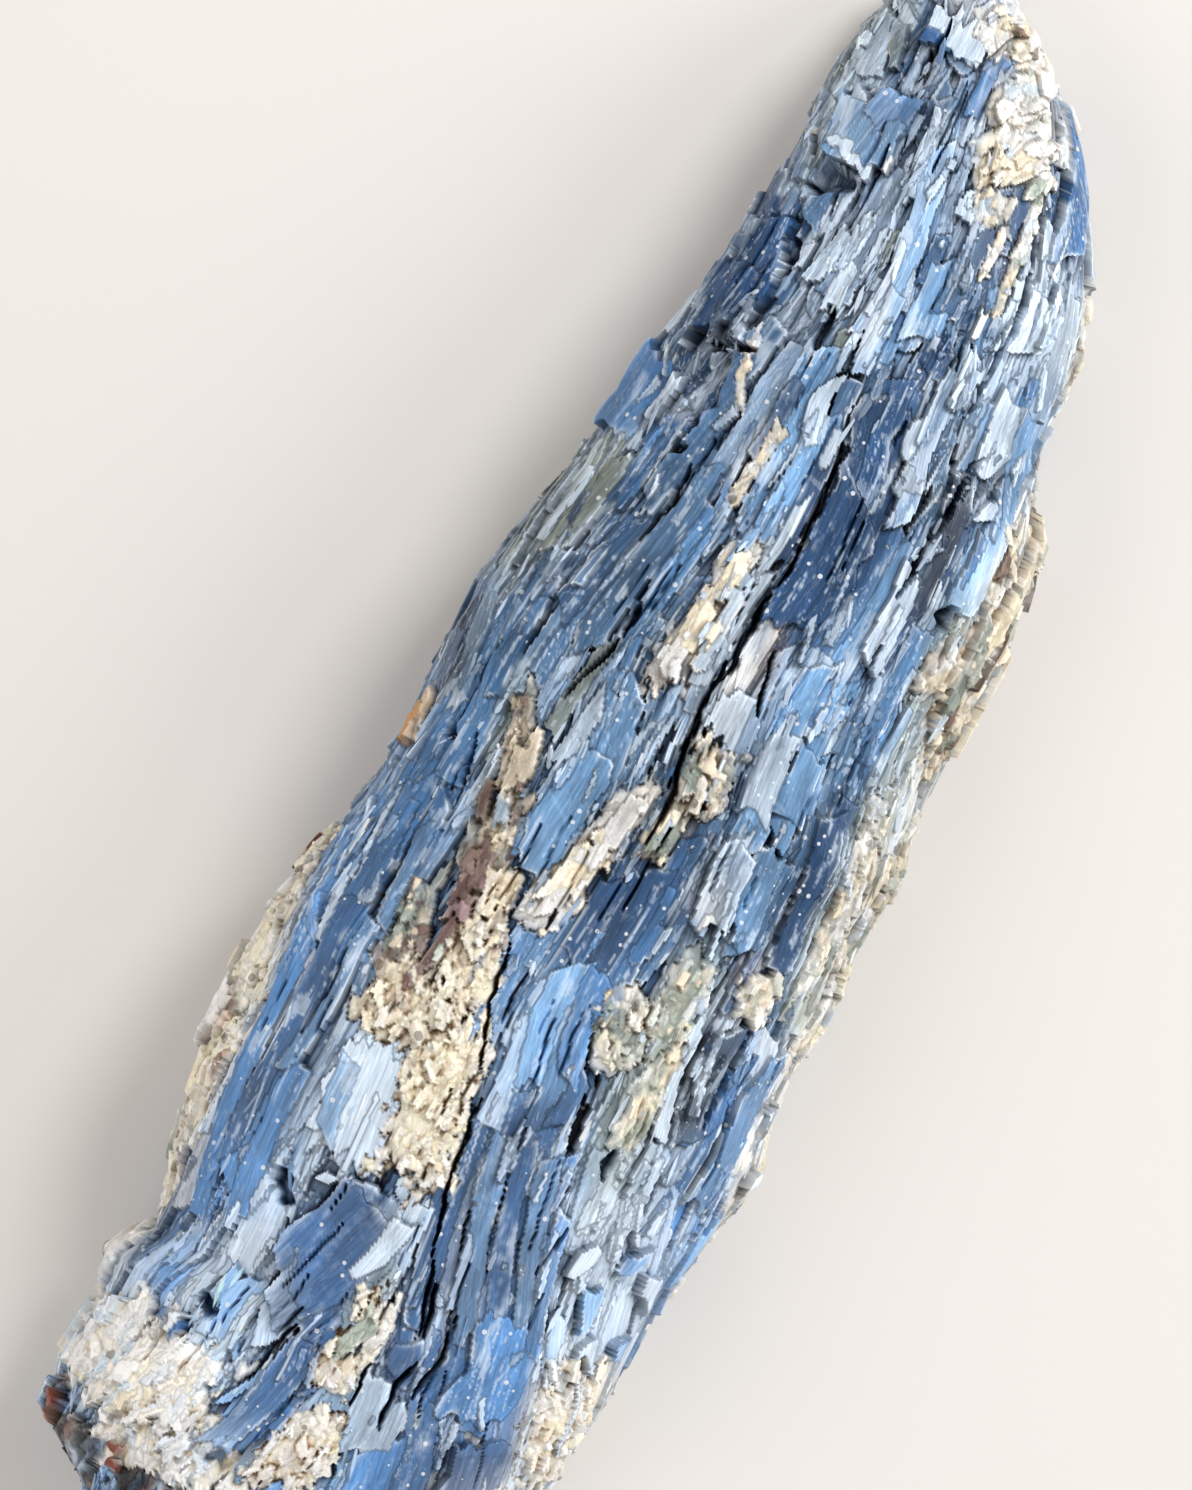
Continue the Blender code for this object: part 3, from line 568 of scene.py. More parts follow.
@dataclass
class Skin:
    """The whole outer surface as a sheet unrolled round the form, pressed with strokes.

    Rows run along y and columns round the section, from the middle of the underside past
    the right side, the crest and the left side.
    """

    form: Form
    flow: Flow
    colouring: Colouring
    rows: int = 780
    upper: int = 326
    lower: int = 60
    crowd: float = 0.55
    thinned: int = 6
    floor: float = -1.3
    stand: float = 1.0
    mineral_bed: float = 1.2
    mineral_root: float = 1.5
    # pale colours for milky patches and for torn edges, which are partly painted highlight
    pale_stone: tuple[float, float, float] = (0.85, 0.905, 0.96)
    pale_grain: tuple[float, float, float] = (0.98, 0.96, 0.92)
    # colours that the painted shade in hollows darkens towards
    painted_shade_stone: tuple[float, float, float] = (0.035, 0.105, 0.20)
    painted_shade_grain: tuple[float, float, float] = (0.24, 0.16, 0.085)
    brightest: float = 0.94
    gain_along: tuple[tuple[float, float], ...] = (
        (-78, 1.42), (-52, 1.42), (-28, 1.20), (-5, 0.80), (22, 0.82), (60, 0.94))

    def section(self, along: float, angles: np.ndarray) -> tuple[np.ndarray, np.ndarray]:
        """Gives the points and normals of one section, cut off at the flat face."""
        place, normal = self.form.at_angle(along, angles)
        place[:, 2] = np.maximum(place[:, 2], self.stand)
        return place, normal

    def prepare(self) -> None:
        """Lays out the sheet and its maps."""
        self.y = np.linspace(-92.2, 88.6, self.rows)
        count = self.upper + 2 * self.lower
        self.point = np.zeros((self.rows, count, 3))
        self.normal = np.zeros((self.rows, count, 3))
        self.arc = np.zeros((self.rows, count))
        over = np.linspace(0, math.pi, 700)
        under = np.linspace(-math.pi / 2, 0, 500)
        sides = ((under, self.lower, self.crowd), (over, self.upper, 0.0),
                 (math.pi - under[::-1], self.lower, -self.crowd))
        for row, along in enumerate(self.y):
            angles = []
            for dense, wanted, crowd in sides:
                way = walked(self.section(along, dense)[0])
                share = np.linspace(0, 1, wanted + 1)
                step = way[-1] * (share + crowd * share * (1 - share))
                at = np.interp(step, way + np.arange(len(way)) * LEAST_GAP, dense)
                angles.append(at[:-1])
            angle = np.concatenate(angles)
            self.point[row], self.normal[row] = self.section(along, angle)
            way = walked(self.point[row])
            self.arc[row] = np.interp(math.pi / 2, angle, way) - way
        shape = self.arc.shape
        self.height = np.full(shape, self.floor)
        self.zone = self.colouring.at(self.point[..., 0], self.point[..., 1], np.random.default_rng(3))
        # places that no stroke reaches lie deepest and keep the zone colour darkened to a quarter, as painted
        # shade
        self.tone = self.zone * 0.25
        self.strand = np.stack([self.arc, np.broadcast_to(self.y[:, None], shape), np.zeros(shape)], -1)
        self.milk, self.calm, self.margin, self.turn = (np.zeros(shape) for _ in range(4))
        self.label = np.zeros(shape, int)
        self.number = 1

    def unroll(self, across: float, along: float) -> float:
        """Turns x on the upper side into the way round the section from the crest."""
        row = int(np.clip(np.searchsorted(self.y, along), 0, self.rows - 1))
        top = slice(self.lower, self.lower + self.upper)
        return float(np.interp(across, self.point[row, top, 0][::-1], self.arc[row, top][::-1]))

    def flank(self, across: float, along: float) -> float:
        """Gives how much of a lean holds at a place in the sheet: less on the flanks."""
        return float(np.clip(1.7 * self.normal[self.level(across, along)][2], 0.1, 1))

    def turned(self, x: float, y: float, lean: float) -> float:
        """Gives how a line through x and y goes across per along in the sheet."""
        across = self.unroll(x, y)
        slope = (self.unroll(x + 2 * math.tan(math.radians(lean)), y + 2) - across) / 2
        return float(np.clip(slope, -0.7, 0.7) * self.flank(across, y))

    def slope_at(self, where: tuple[int, int], along: float) -> float:
        """Gives how the blades' run goes across per along in the sheet, by row and column."""
        across, up = self.point[where][0], self.normal[where][2]
        lean = float(self.flow.lean(np.array([across]), np.array([along]))[0])
        ahead = self.unroll(across + 3 * math.tan(lean), along + 3)
        slope = float(np.clip((ahead - self.unroll(across, along)) / 3, -0.6, 0.6))
        return slope * float(np.clip(2 * up, 0, 1))

    def window(self, stroke: Stroke) -> tuple[slice, slice]:
        """Finds the rows and columns that a stroke can reach."""
        margin = 0.6
        reach = stroke.length / 2 + stroke.half + margin
        low = int(np.searchsorted(self.y, stroke.along - reach))
        high = int(np.searchsorted(self.y, stroke.along + reach))
        if high - low < 2:
            return slice(0, 0), slice(0, 0)
        wide = abs(stroke.lean) * reach + stroke.half + margin
        first, last = self.arc.shape[1], 0
        for row in (low, (low + high) // 2, high - 1):
            ways = -self.arc[row]
            first = min(first, int(np.searchsorted(ways, -stroke.across - wide)))
            last = max(last, int(np.searchsorted(ways, -stroke.across + wide)))
        return slice(low, high), slice(first, last)

    def level(self, across: float, along: float) -> tuple[int, int]:
        """Finds the row and column nearest to a place in the sheet."""
        row = int(np.clip(np.searchsorted(self.y, along), 0, self.rows - 1))
        column = int(np.clip(np.searchsorted(-self.arc[row], -across), 0, self.arc.shape[1] - 1))
        return row, column

    def plane(self, stroke: Stroke) -> tuple[tuple[slice, slice], np.ndarray, np.ndarray]:
        """Gives a stroke's window, with how far each place lies across and along the stroke."""
        part = self.window(stroke)
        scale = math.hypot(1.0, stroke.lean)
        da, dy = self.arc[part] - stroke.across, self.y[part[0]][:, None] - stroke.along
        return part, (da - dy * stroke.lean) / scale, (da * stroke.lean + dy) / scale

    def press(self, stroke: Stroke, rng: np.random.Generator) -> None:
        """Presses a stroke into the sheet wherever it stands higher than what is there."""
        part, u, v = self.plane(stroke)
        if not u.size:
            return
        half_length = stroke.length / 2
        knots = np.linspace(-half_length, half_length, max(4, int(stroke.length / 1.6)))
        half = stroke.half * (1 + 0.16 * np.interp(v, knots, rng.uniform(-1, 1, len(knots))))
        teeth = np.linspace(-stroke.half, stroke.half, max(3, int(stroke.half / 0.30)))
        depth = stroke.teeth * rng.random((2, len(teeth))) ** 1.3 * 1.6
        slant = rng.uniform(-1.1, 1.1, 2) * min(1.0, 1.3 / stroke.half)
        head = half_length - np.interp(u, teeth, depth[0]) - slant[0] * u
        foot = -half_length + np.interp(u, teeth, depth[1]) - slant[1] * u
        edge = np.minimum(np.minimum(half - np.abs(u), v - foot), head - v)
        cuts = np.sort(rng.uniform(-half_length, half_length, stroke.breaks))
        steps = np.concatenate([[0], np.cumsum(rng.normal(0, 0.09, stroke.breaks))])
        height = stroke.height + math.tan(math.radians(stroke.tilt)) * u + stroke.slope * v
        height = height + steps[np.searchsorted(cuts, v + rng.uniform(-1, 1) * u)] - steps.mean()
        grooves = np.linspace(-stroke.half * 1.2, stroke.half * 1.2, max(4, int(stroke.half / 0.16)))
        height = height + np.interp(u, grooves, rng.normal(0, 0.055 - 0.035 * stroke.calm, len(grooves)))
        height = height - stroke.bevel * np.clip(1 - edge / 0.34, 0, 1) ** 1.5
        wins = (edge > 0) & (height > self.height[part])
        if not wins.any():
            return
        own = stroke.tone * stroke.blend + self.zone[part] * (1 - stroke.blend)
        self.mark(part, wins, height, own, u, v, self.number % 89, stroke)
        self.margin[part][wins] = np.clip(1 - edge / (0.22 + 0.30 * stroke.half), 0, 1)[wins]
        self.turn[part][wins] = abs(stroke.lean)
        self.number += 1

    def mark(self, part: tuple[slice, slice], wins: np.ndarray, height: np.ndarray, tone: np.ndarray,
             u: np.ndarray, v: np.ndarray, number: int, stroke: Stroke) -> None:
        """Writes a stroke's height, colour and patterns where it wins in its window."""
        self.height[part][wins] = height[wins]
        self.tone[part][wins] = tone[wins]
        self.strand[part][wins] = np.stack([u, v, np.full(u.shape, float(number))], -1)[wins]
        self.label[part][wins] = stroke.label
        self.milk[part][wins] = stroke.milk
        self.calm[part][wins] = stroke.calm
        self.margin[part][wins] = 0.0

    def soften_under(self) -> None:
        """Smooths the heights on the lower part, where the sheet's columns lie further apart."""
        columns = np.arange(self.arc.shape[1])
        away = np.maximum(self.lower - columns, columns - self.lower - self.upper)
        share = step_between(away.astype(float), -4.0, 12.0)
        self.height += share * (self.smooth(self.height, 3) - self.height)

    def note_edges(self) -> None:
        """Keeps how far each place stands over its lowest neighbour, before any crevice opens."""
        padded = np.pad(self.height, ((1, 1), (0, 0)), mode="edge")
        lowest = np.minimum(np.minimum(padded[:-2], padded[2:]), self.height)
        beside = np.minimum(np.roll(lowest, 1, 1), np.roll(lowest, -1, 1))
        self.drop = self.height - np.minimum(beside, lowest)

    def carve(self, ends: tuple[float, float, float, float], width: float, depth: float,
              rng: np.random.Generator) -> None:
        """Opens a crevice between two places given as x and y."""
        foot, head = (np.array([self.unroll(x, y), y]) for x, y in (ends[:2], ends[2:]))
        if foot[1] > head[1]:
            foot, head = head, foot
        middle, run = (foot + head) / 2, head - foot
        lean = self.flank(middle[0], middle[1]) * run[0] / max(run[1], 0.1)
        stroke = Stroke(middle[0], middle[1], lean, width, float(np.hypot(*run)), 0, np.zeros(3))
        part, u, v = self.plane(stroke)
        knots = np.linspace(-stroke.length / 2, stroke.length / 2, max(5, int(stroke.length / 1.2)))
        u = u + 0.5 * width * np.interp(v, knots, rng.uniform(-1, 1, len(knots)))
        half = 0.5 * width * np.sqrt(np.clip(1 - (2 * v / stroke.length) ** 2, 0, 1))
        half = half * (1 + 0.5 * np.interp(v, knots, rng.uniform(-1, 1, len(knots))))
        cut = np.clip(1.4 - np.abs(u) / np.maximum(half, 1e-3), 0, 1) * (half > 0.05)
        self.height[part] -= cut * (self.height[part] - np.minimum(self.height[part], depth))

    def smooth(self, values: np.ndarray, passes: int) -> np.ndarray:
        """Blurs a map over its neighbours, a number of times."""
        for _ in range(passes):
            padded = np.pad(values, ((1, 1), (0, 0)), mode="edge")
            values = (padded[:-2] + 2 * values + padded[2:]) / 4
            values = (np.roll(values, 1, 1) + 2 * values + np.roll(values, -1, 1)) / 4
        return values

    def streaks(self, rng: np.random.Generator, reach: int) -> np.ndarray:
        """Drags noise along the flow, to streaks with mean 0 and spread 1."""
        source = rng.normal(0, 1, self.arc.shape)
        lean = self.flow.lean(self.point[::12, ::8, 0], self.point[::12, ::8, 1])
        lean = np.repeat(np.repeat(np.tan(lean), 12, 0), 8, 1)[: self.rows, : self.arc.shape[1]]
        bend = np.gradient(self.form.section(self.y)[0], self.y)[:, None]
        pitch = np.abs(np.gradient(self.arc, axis=1))
        shift = -np.clip(lean - bend, -0.6, 0.6) * (self.y[1] - self.y[0]) / np.maximum(pitch, 0.05)
        shift = shift * np.clip(self.normal[..., 2] * 2, 0, 1)
        rows = np.arange(self.rows)[:, None]
        total = source.copy()
        for way in (-1, 1):
            at = np.broadcast_to(np.arange(self.arc.shape[1], dtype=float), self.arc.shape)
            near = at.astype(int)
            for k in range(1, reach + 1):
                row = np.clip(rows + way * k, 0, self.rows - 1)
                at = at + way * shift[row, near]
                near = np.clip(np.rint(at), 0, self.arc.shape[1] - 1).astype(int)
                total = total + source[row, near]
        return total / total.std()

    def blade_noise(self, across: float, along: float, own: float, seed: int) -> np.ndarray:
        """Gives noise in each blade's own plane, as fine as three factors say."""
        noise = value_noise((self.strand * (across, along, own)).reshape(-1, 3), 1.0, seed)
        return noise.reshape(self.arc.shape)

    def space_noise(self, along: float, size: float, seed: int) -> np.ndarray:
        """Gives noise in space, drawn out along the blades."""
        return value_noise((self.point * (1, along, 1)).reshape(-1, 3), size, seed).reshape(self.arc.shape)

    def finish_tones(self, rng: np.random.Generator, shades: np.ndarray) -> None:
        """Works out the colours: streaks, milky patches, torn edges that are partly painted highlight,
        painted shade in the hollows and painted light on the ridges.

        Args:
            rng: the seeded source.
            shades: for each label, how dark the painted shade in its hollows is.
        """
        stone = self.label == 0
        streak = self.streaks(rng, 16)
        layers = ((0.14, streak), (0.14, self.blade_noise(2.6, 0.35, 7.3, 21)),
                  (0.30, self.blade_noise(0.25, 0.13, 5.9, 25)), (0.26, self.space_noise(0.45, 5.5, 26)),
                  (0.26, self.space_noise(0.4, 1.9, 27)))
        gain = np.log(np.interp(self.y, *np.array(self.gain_along).T))[:, None]
        hold = np.where(stone, 1.0, 0.4 + 0.6 * self.calm)
        change = gain / hold
        for share, layer in layers:
            change = change + share * layer
        tone = self.tone * np.exp(change * hold)[..., None]
        bright = np.sqrt(np.clip(tone @ np.array([0.25, 0.6, 0.15]), 0, 1))
        cloud = 0.62 * self.blade_noise(0.55, 0.20, 7.7, 22) + 0.38 * self.blade_noise(1.5, 0.5, 3.1, 23)
        cloud = cloud + 0.05 * streak
        over = cloud - (0.50 - 0.60 * (bright - 0.42) - 0.22 * self.milk + 0.06 * self.calm)
        patch = 0.45 * step_between(over, 0.0, 0.08) + 0.3 * step_between(over, 0.12, 0.40)
        patch = np.maximum(patch, 0.55 * step_between(streak + 1.2 * cloud, 1.1, 2.2))
        line = 0.60 * (1 - step_between(np.abs(over), 0.0, 0.055))
        # Torn edges: the upper edges of steps and the margins of strokes are paled, partly as the milky
        # chipped edges of the mineral and partly as painted highlight where light would catch them.
        near = self.space_noise(0.6, 1.3, 24)
        torn = 0.85 * step_between(self.drop, 0.12, 0.50) * step_between(near, -0.15, 0.45)
        torn = np.maximum(torn, 0.6 * self.margin ** 1.5 * step_between(near + 0.5 * cloud, -0.05, 0.6))
        # Painted shade: places below the smoothed surface, in narrow hollows, broad dips and wide valleys,
        # are darkened as shade would fall there, and pale marks fade in it.
        hollow, wide, broader = (self.smooth(self.height, passes) - self.height for passes in (5, 60, 16))
        dark = 0.55 * step_between(hollow, 0.06, 0.70) + 0.45 * step_between(broader, 0.10, 0.9)
        dark = np.where(stone, dark, step_between(hollow, 0.05, 0.40)) * shades[self.label]
        valley = step_between(wide, 0.20, 1.5) * np.where(stone, 0.9, 0.6 * shades[self.label])
        pale = np.maximum(np.maximum(patch, line), torn) * (1 - 0.85 * dark)
        mineral_edge_pale_and_highlight = torn * (1 - 0.85 * dark) * (0.2 + 0.6 * step_between(bright, 0.25, 0.6))
        veil = np.interp(self.y, (-30, 0), (0.05, 0.0))[:, None]
        pale = np.where(stone, np.maximum(pale, veil), mineral_edge_pale_and_highlight)
        pale = pale + step_between(self.turn, 0.10, 0.28) * (self.smooth(pale, 1) - pale)
        stone = stone[..., None]
        light = np.where(stone, to_linear(self.pale_stone), to_linear(self.pale_grain))
        tone = tone + (light - tone) * pale[..., None]
        # painted highlight: places standing above the wide smoothed surface are lightened as if lit
        painted_ridge_light = 1 + 0.25 * step_between(-wide, 0.15, 0.9)
        # the painted shade darkens towards deep blue on the kyanite and towards brown among the mineral
        # grains
        deep = np.where(stone, self.painted_shade_stone, self.painted_shade_grain)
        shade = 1 - (1 - deep) * dark[..., None] ** 0.8
        shade = shade * (1 - (1 - deep) * 0.75 * valley[..., None])
        lit = tone * shade * painted_ridge_light[..., None]
        even = lit / np.maximum(lit.max(-1, keepdims=True) / 0.93, 1.0)
        even = np.where(stone, even, 0.4 * even + 0.6 * np.clip(lit, 0, self.brightest))
        self.finished = np.clip(even, 0.002, self.brightest)
        # the depth trait carries the painted shade, with calm places added, so that the shader fades pale
        # marks there
        self.depth = np.clip(dark + 0.6 * valley + 0.35 * self.calm, 0, 1)
        self.rim = pale

    def places(self, sink: object) -> np.ndarray:
        """Gives the sheet's points on the specimen, sunk by millimetres, with both ends ragged."""
        height = self.height - sink
        place = self.point + self.normal * height[..., None]
        flat = self.point[..., 2] <= self.stand + FLATTEST
        place[..., 0] = np.where(flat, self.point[..., 0], place[..., 0])
        place[..., 2] = np.where(flat, self.stand - 0.33 * height, place[..., 2])
        place[..., 2] = np.clip(place[..., 2], 0.02, None)
        ragged = value_noise(np.stack([self.arc[0], 0 * self.arc[0], 0 * self.arc[0]], -1), 1.6, 31)
        pull = np.clip((-88 - self.y) / 4.2, 0, 1)[:, None] - np.clip((self.y - 85) / 3.6, 0, 1)[:, None]
        place[..., 1] += pull * (1.3 * ragged + 0.4)[None]
        return place

    def attributes(self, mesh: bpy.types.Mesh, rows: np.ndarray, columns: np.ndarray) -> None:
        """Stores the finished colours, painted shade and highlight included, and the patterns for points
        picked by row and column.
        """
        put(mesh, tone=self.finished[rows, columns], strand=self.strand[rows, columns],
            traits=np.stack([self.milk, self.depth, self.rim], -1)[rows, columns])

    def kyanite_piece(self, first: int, last: int, name: str) -> bpy.types.Object:
        """Makes one closed length of the kyanite, from a row to a row, with wider faces where it lies."""
        flat = (self.point[first:last + 1, :, 2] <= self.stand + FLATTEST).all(0)
        kept = np.nonzero(~flat | (np.arange(len(flat)) % self.thinned == 0))[0]
        place = self.places(np.where(self.label > 0, self.mineral_bed, 0.0))[first:last + 1, kept]
        rows, columns = np.meshgrid(np.arange(first, last + 1), kept, indexing="ij")
        count = len(kept)
        ring = (np.arange(last - first) * count)[:, None]
        here, after = ring + np.arange(count), ring + (np.arange(count) + 1) % count
        quads = np.stack([here, here + count, after + count, after], -1)
        ends = [np.arange(count), np.arange(count)[::-1] + (last - first) * count]
        mesh = sheet_mesh(name, self.form.world(place.reshape(-1, 3)), quads.reshape(-1, 4), ends)
        self.attributes(mesh, rows.ravel(), columns.ravel())
        return linked(name, mesh)

    def mineral_piece(self, label: int, name: str) -> bpy.types.Object:
        """Makes one mineral as a closed patch that fills its hollow in the kyanite."""
        count = self.arc.shape[1]
        padded = np.concatenate([self.label, self.label[:, :1]], 1)
        corners = np.stack([padded[:-1, :-1], padded[1:, :-1], padded[1:, 1:], padded[:-1, 1:]], -1)
        row, column = np.nonzero(corners.max(-1) == label)
        here, after = row * count + column, row * count + (column + 1) % count
        quads = np.stack([here, here + count, after + count, after], -1)
        used, inverse = np.unique(quads, return_inverse=True)
        quads = inverse.reshape(-1, 4)
        tops, lows = (self.places(sink).reshape(-1, 3)[used] for sink in (0.0, self.mineral_root))
        edges = np.concatenate([np.stack([quads[:, k], quads[:, (k + 1) % 4]], -1) for k in range(4)])
        key = edges[:, 0] * len(used) + edges[:, 1]
        back = edges[:, 1] * len(used) + edges[:, 0]
        rim = edges[~np.isin(key, back)]
        walls = np.stack([rim[:, 1], rim[:, 0], rim[:, 0] + len(used), rim[:, 1] + len(used)], -1)
        faces = np.concatenate([quads, quads[:, ::-1] + len(used), walls])
        mesh = sheet_mesh(name, self.form.world(np.concatenate([tops, lows])), faces, [])
        self.attributes(mesh, *np.divmod(np.concatenate([used, used]), count))
        put(mesh, top=np.repeat([1.0, 0.0], len(used)))
        return linked(name, mesh)


@dataclass(frozen=True)
class Pocket:
    """One pocket or crust of another mineral: its lumps, its tones and how it is grained.

    A lump is x, y, half width, half length, half height, lift, turn in degrees. Films are thin
    lumps of the same mineral past the main ones; plates are rows as in FEATURES.
    """

    node: str
    slot: str
    tones: tuple[tuple[Tone, float], ...]
    lumps: tuple[tuple[float, ...], ...]
    films: tuple[tuple[float, ...], ...] = ()
    flake: tuple[float, float] = (0.8, 3.2)
    density: float = 1.7
    wild: float = 0.22
    crumbs: float = 2.4
    plates: tuple[tuple, ...] = ()
    # shade sets how dark the painted shade in the pocket's hollows is, and how high its flakes stand
    shade: float = 0.8
    merge: float = 0.5


@dataclass
class Painter:
    """Presses the bed, the blades, the pockets and the crevices into the skin."""

    skin: Skin
    rng: np.random.Generator
    row_pitch: float = 6.0
    across_pitch: float = 1.9
    bed_half: tuple[float, float] = (0.32, 2.3)
    bed_length: tuple[float, float] = (12.0, 40.0)
    bed_height: tuple[float, float] = (0.1, 1.6)
    lift: tuple[float, float] = (0.5, 1.3)
    lamella: float = 2.7
    favour: float = 0.6
    pocket_strand: float = 90.0

    def tone_at(self, across: float, along: float, spread: float = 0.22) -> np.ndarray:
        """Gives a varied tone from the zone at a place in the sheet."""
        where = self.skin.level(across + self.rng.normal(0, 0.5), along + self.rng.normal(0, 1.6))
        return varied(self.skin.zone[where], self.rng, spread)

    def bed(self) -> None:
        """Covers the whole sheet with close-packed blades."""
        rng, skin = self.rng, self.skin
        for along in np.arange(-93.0, 90.0, self.row_pitch):
            ways = skin.arc[skin.level(0, along)[0]]
            for across in np.arange(ways.min(), ways.max(), self.across_pitch):
                a, y = across + rng.uniform(-1, 1), along + rng.uniform(-3, 3)
                where = skin.level(a, y)
                lean = skin.slope_at(where, y) + rng.normal(0, 0.02)
                half = self.bed_half[0] * (self.bed_half[1] / self.bed_half[0]) ** rng.random()
                if skin.normal[where][2] < -0.5:
                    half *= 1.7
                length = rng.uniform(*self.bed_length) * (0.6 + 0.25 * half)
                skin.press(Stroke(
                    a, y, lean, half, length, rng.uniform(*self.bed_height) - 0.15 * half, self.tone_at(a, y),
                    tilt=rng.normal(0, 9), slope=rng.normal(0, 0.01), teeth=rng.uniform(0.2, 1.3), blend=0.55,
                    milk=rng.random() ** 2, breaks=1), rng)

    def leading(self, rows: tuple) -> None:
        """Presses the blades that stand proud, each as lamellae side by side."""
        rng, skin = self.rng, self.skin
        for head_x, head_y, foot_x, foot_y, width, rise, tilt in rows:
            head, foot = skin.unroll(head_x, head_y), skin.unroll(foot_x, foot_y)
            middle, y = (head + foot) / 2, (head_y + foot_y) / 2
            lean = (head - foot) / (head_y - foot_y)
            count = max(1, round(width / (self.lamella * rng.uniform(0.7, 1.5))))
            base = self.lift[0] + self.lift[1] * rise
            tone = self.tone_at(middle, y, 0.15)
            for index in range(count):
                off = ((index + 0.5) / count - 0.5) * width
                shift = rng.uniform(-1.6, 1.6)
                skin.press(Stroke(
                    middle + off + lean * shift, y + shift, lean, 0.54 * width / count,
                    head_y - foot_y + rng.uniform(-1.5, 1.5), base + rng.normal(0, 0.14),
                    tone * math.exp(rng.normal(0, 0.14)), tilt=1.6 * tilt + rng.normal(0, 4),
                    slope=rng.normal(0, 0.006), teeth=rng.uniform(0.2, 1.0), blend=0.55,
                    milk=0.8 * rng.random() ** 2, breaks=1, calm=0.65), rng)

    def features(self, rows: tuple, label: int = 0) -> None:
        """Presses the plates and blades that the eye picks out.

        Args:
            rows: for each one x, y, half width, length, lean in degrees, height, tone and teeth.
            label: the mineral they belong to, 0 for the kyanite.
        """
        for x, y, half, length, lean, height, tone, teeth in rows:
            own = tone.linear() * math.exp(self.rng.normal(0, 0.08))
            self.skin.press(Stroke(
                self.skin.unroll(x, y), y, self.skin.turned(x, y, lean), half, length, height, own,
                tilt=self.rng.normal(0, 5), teeth=teeth, blend=0.98 if label else 0.85, label=label,
                bevel=0.16, breaks=1, calm=1.0), self.rng)

    def lump(self, label: int, index: int, pocket: Pocket, row: tuple[float, ...]) -> None:
        """Raises one lump of a pocket out of the sheet.

        Args:
            label: the mineral's label.
            index: the lump's number in the pocket.
            pocket: the pocket.
            row: the lump, as Pocket says.
        """
        skin = self.skin
        x, y, half_x, half_y, half_z, lift, turn = row
        tones = np.array([tone.linear() for tone, _ in pocket.tones])
        whole = Stroke(skin.unroll(x, y), y, skin.turned(x, y, turn), half_x * 1.5, half_y * 2.6, 0, tones[0],
                       milk=0.2, label=label)
        part, u, v = skin.plane(whole)
        flat = np.stack([u.ravel(), 0.5 * v.ravel(), 0 * u.ravel() + 9.1 * index + label], -1)
        warp = 1 + 0.38 * value_noise(flat, 1.7, 51) + 0.20 * value_noise(flat, 0.6, 52)
        reach = (((u / half_x) ** 4 + (v / half_y) ** 4) ** 0.25) * warp.reshape(u.shape)
        dome = lift - half_z + half_z * np.sqrt(np.sqrt(np.clip(1 - reach ** 4, 0, 1)))
        crumbs = 1 - 2 * np.abs(value_noise(flat, 0.9, 53)) + 0.5 * value_noise(flat, 0.35, 54)
        dome = dome - 0.10 + 0.10 * crumbs.reshape(u.shape)
        wins = (reach < 1) & (dome + self.favour > skin.height[part])
        weight = np.exp(5.0 * np.stack([
            value_noise(flat, 1.5, 55 + label + 20 * k) + 0.5 * value_noise(flat, 0.5, 56 + label + 20 * k)
            + 0.28 * math.log(share) for k, (_, share) in enumerate(pocket.tones)], -1))
        blended = (weight @ tones / weight.sum(-1, keepdims=True)).reshape(*u.shape, 3)
        merge = (pocket.merge * step_between(reach, 0.62, 1.0))[..., None]
        own = mixed(blended, 0.5 * ICE.linear() + 0.5 * skin.tone[part], merge)
        skin.mark(part, wins, dome, own, u, v, self.pocket_strand + label, whole)

    def pocket(self, label: int, pocket: Pocket) -> None:
        """Fills one pocket and crusts it with flakes."""
        rng, skin = self.rng, self.skin
        tones = np.array([tone.linear() for tone, _ in pocket.tones])
        shares = np.array([share for _, share in pocket.tones])
        for index, row in enumerate(pocket.lumps + pocket.films):
            self.lump(label, index, pocket, row)
        self.features(pocket.plates, label)
        for x, y, half_x, half_y, _, _, turn in pocket.lumps + pocket.films:
            middle, lean = skin.unroll(x, y), skin.turned(x, y, turn)
            for _ in range(int(4 * half_x * half_y * pocket.density)):
                a = middle + rng.uniform(-1.05, 1.05) * half_x
                b = rng.uniform(-1.05, 1.05) * half_y
                a, at_y = a + lean * b, y + b
                where = skin.level(a, at_y)
                if rng.random() < (0.8 if skin.label[where] != label else 0.85 * skin.calm[where]):
                    continue
                low, high = pocket.flake
                length = low + (high - low) * rng.random() ** 1.8
                own = rng.choice(len(tones), p=shares / shares.sum()) if rng.random() < 0.3 else None
                tone = skin.tone[where] if own is None else tones[own]
                tone = tone * math.exp(rng.normal(0.05, 0.17))
                skin.press(Stroke(
                    a, at_y, lean + rng.normal(0, pocket.wild),
                    rng.uniform(0.16, 0.36) * (0.5 + 0.4 * length), length,
                    skin.height[where] + rng.uniform(0.03, 0.20 + 0.20 * pocket.shade),
                    tone * min(1.0, skin.brightest / tone.max()), tilt=rng.normal(0, 14),
                    slope=rng.normal(0, 0.12), teeth=0.5, blend=0.96, milk=0.2, label=label, bevel=0.10,
                    breaks=0), rng)

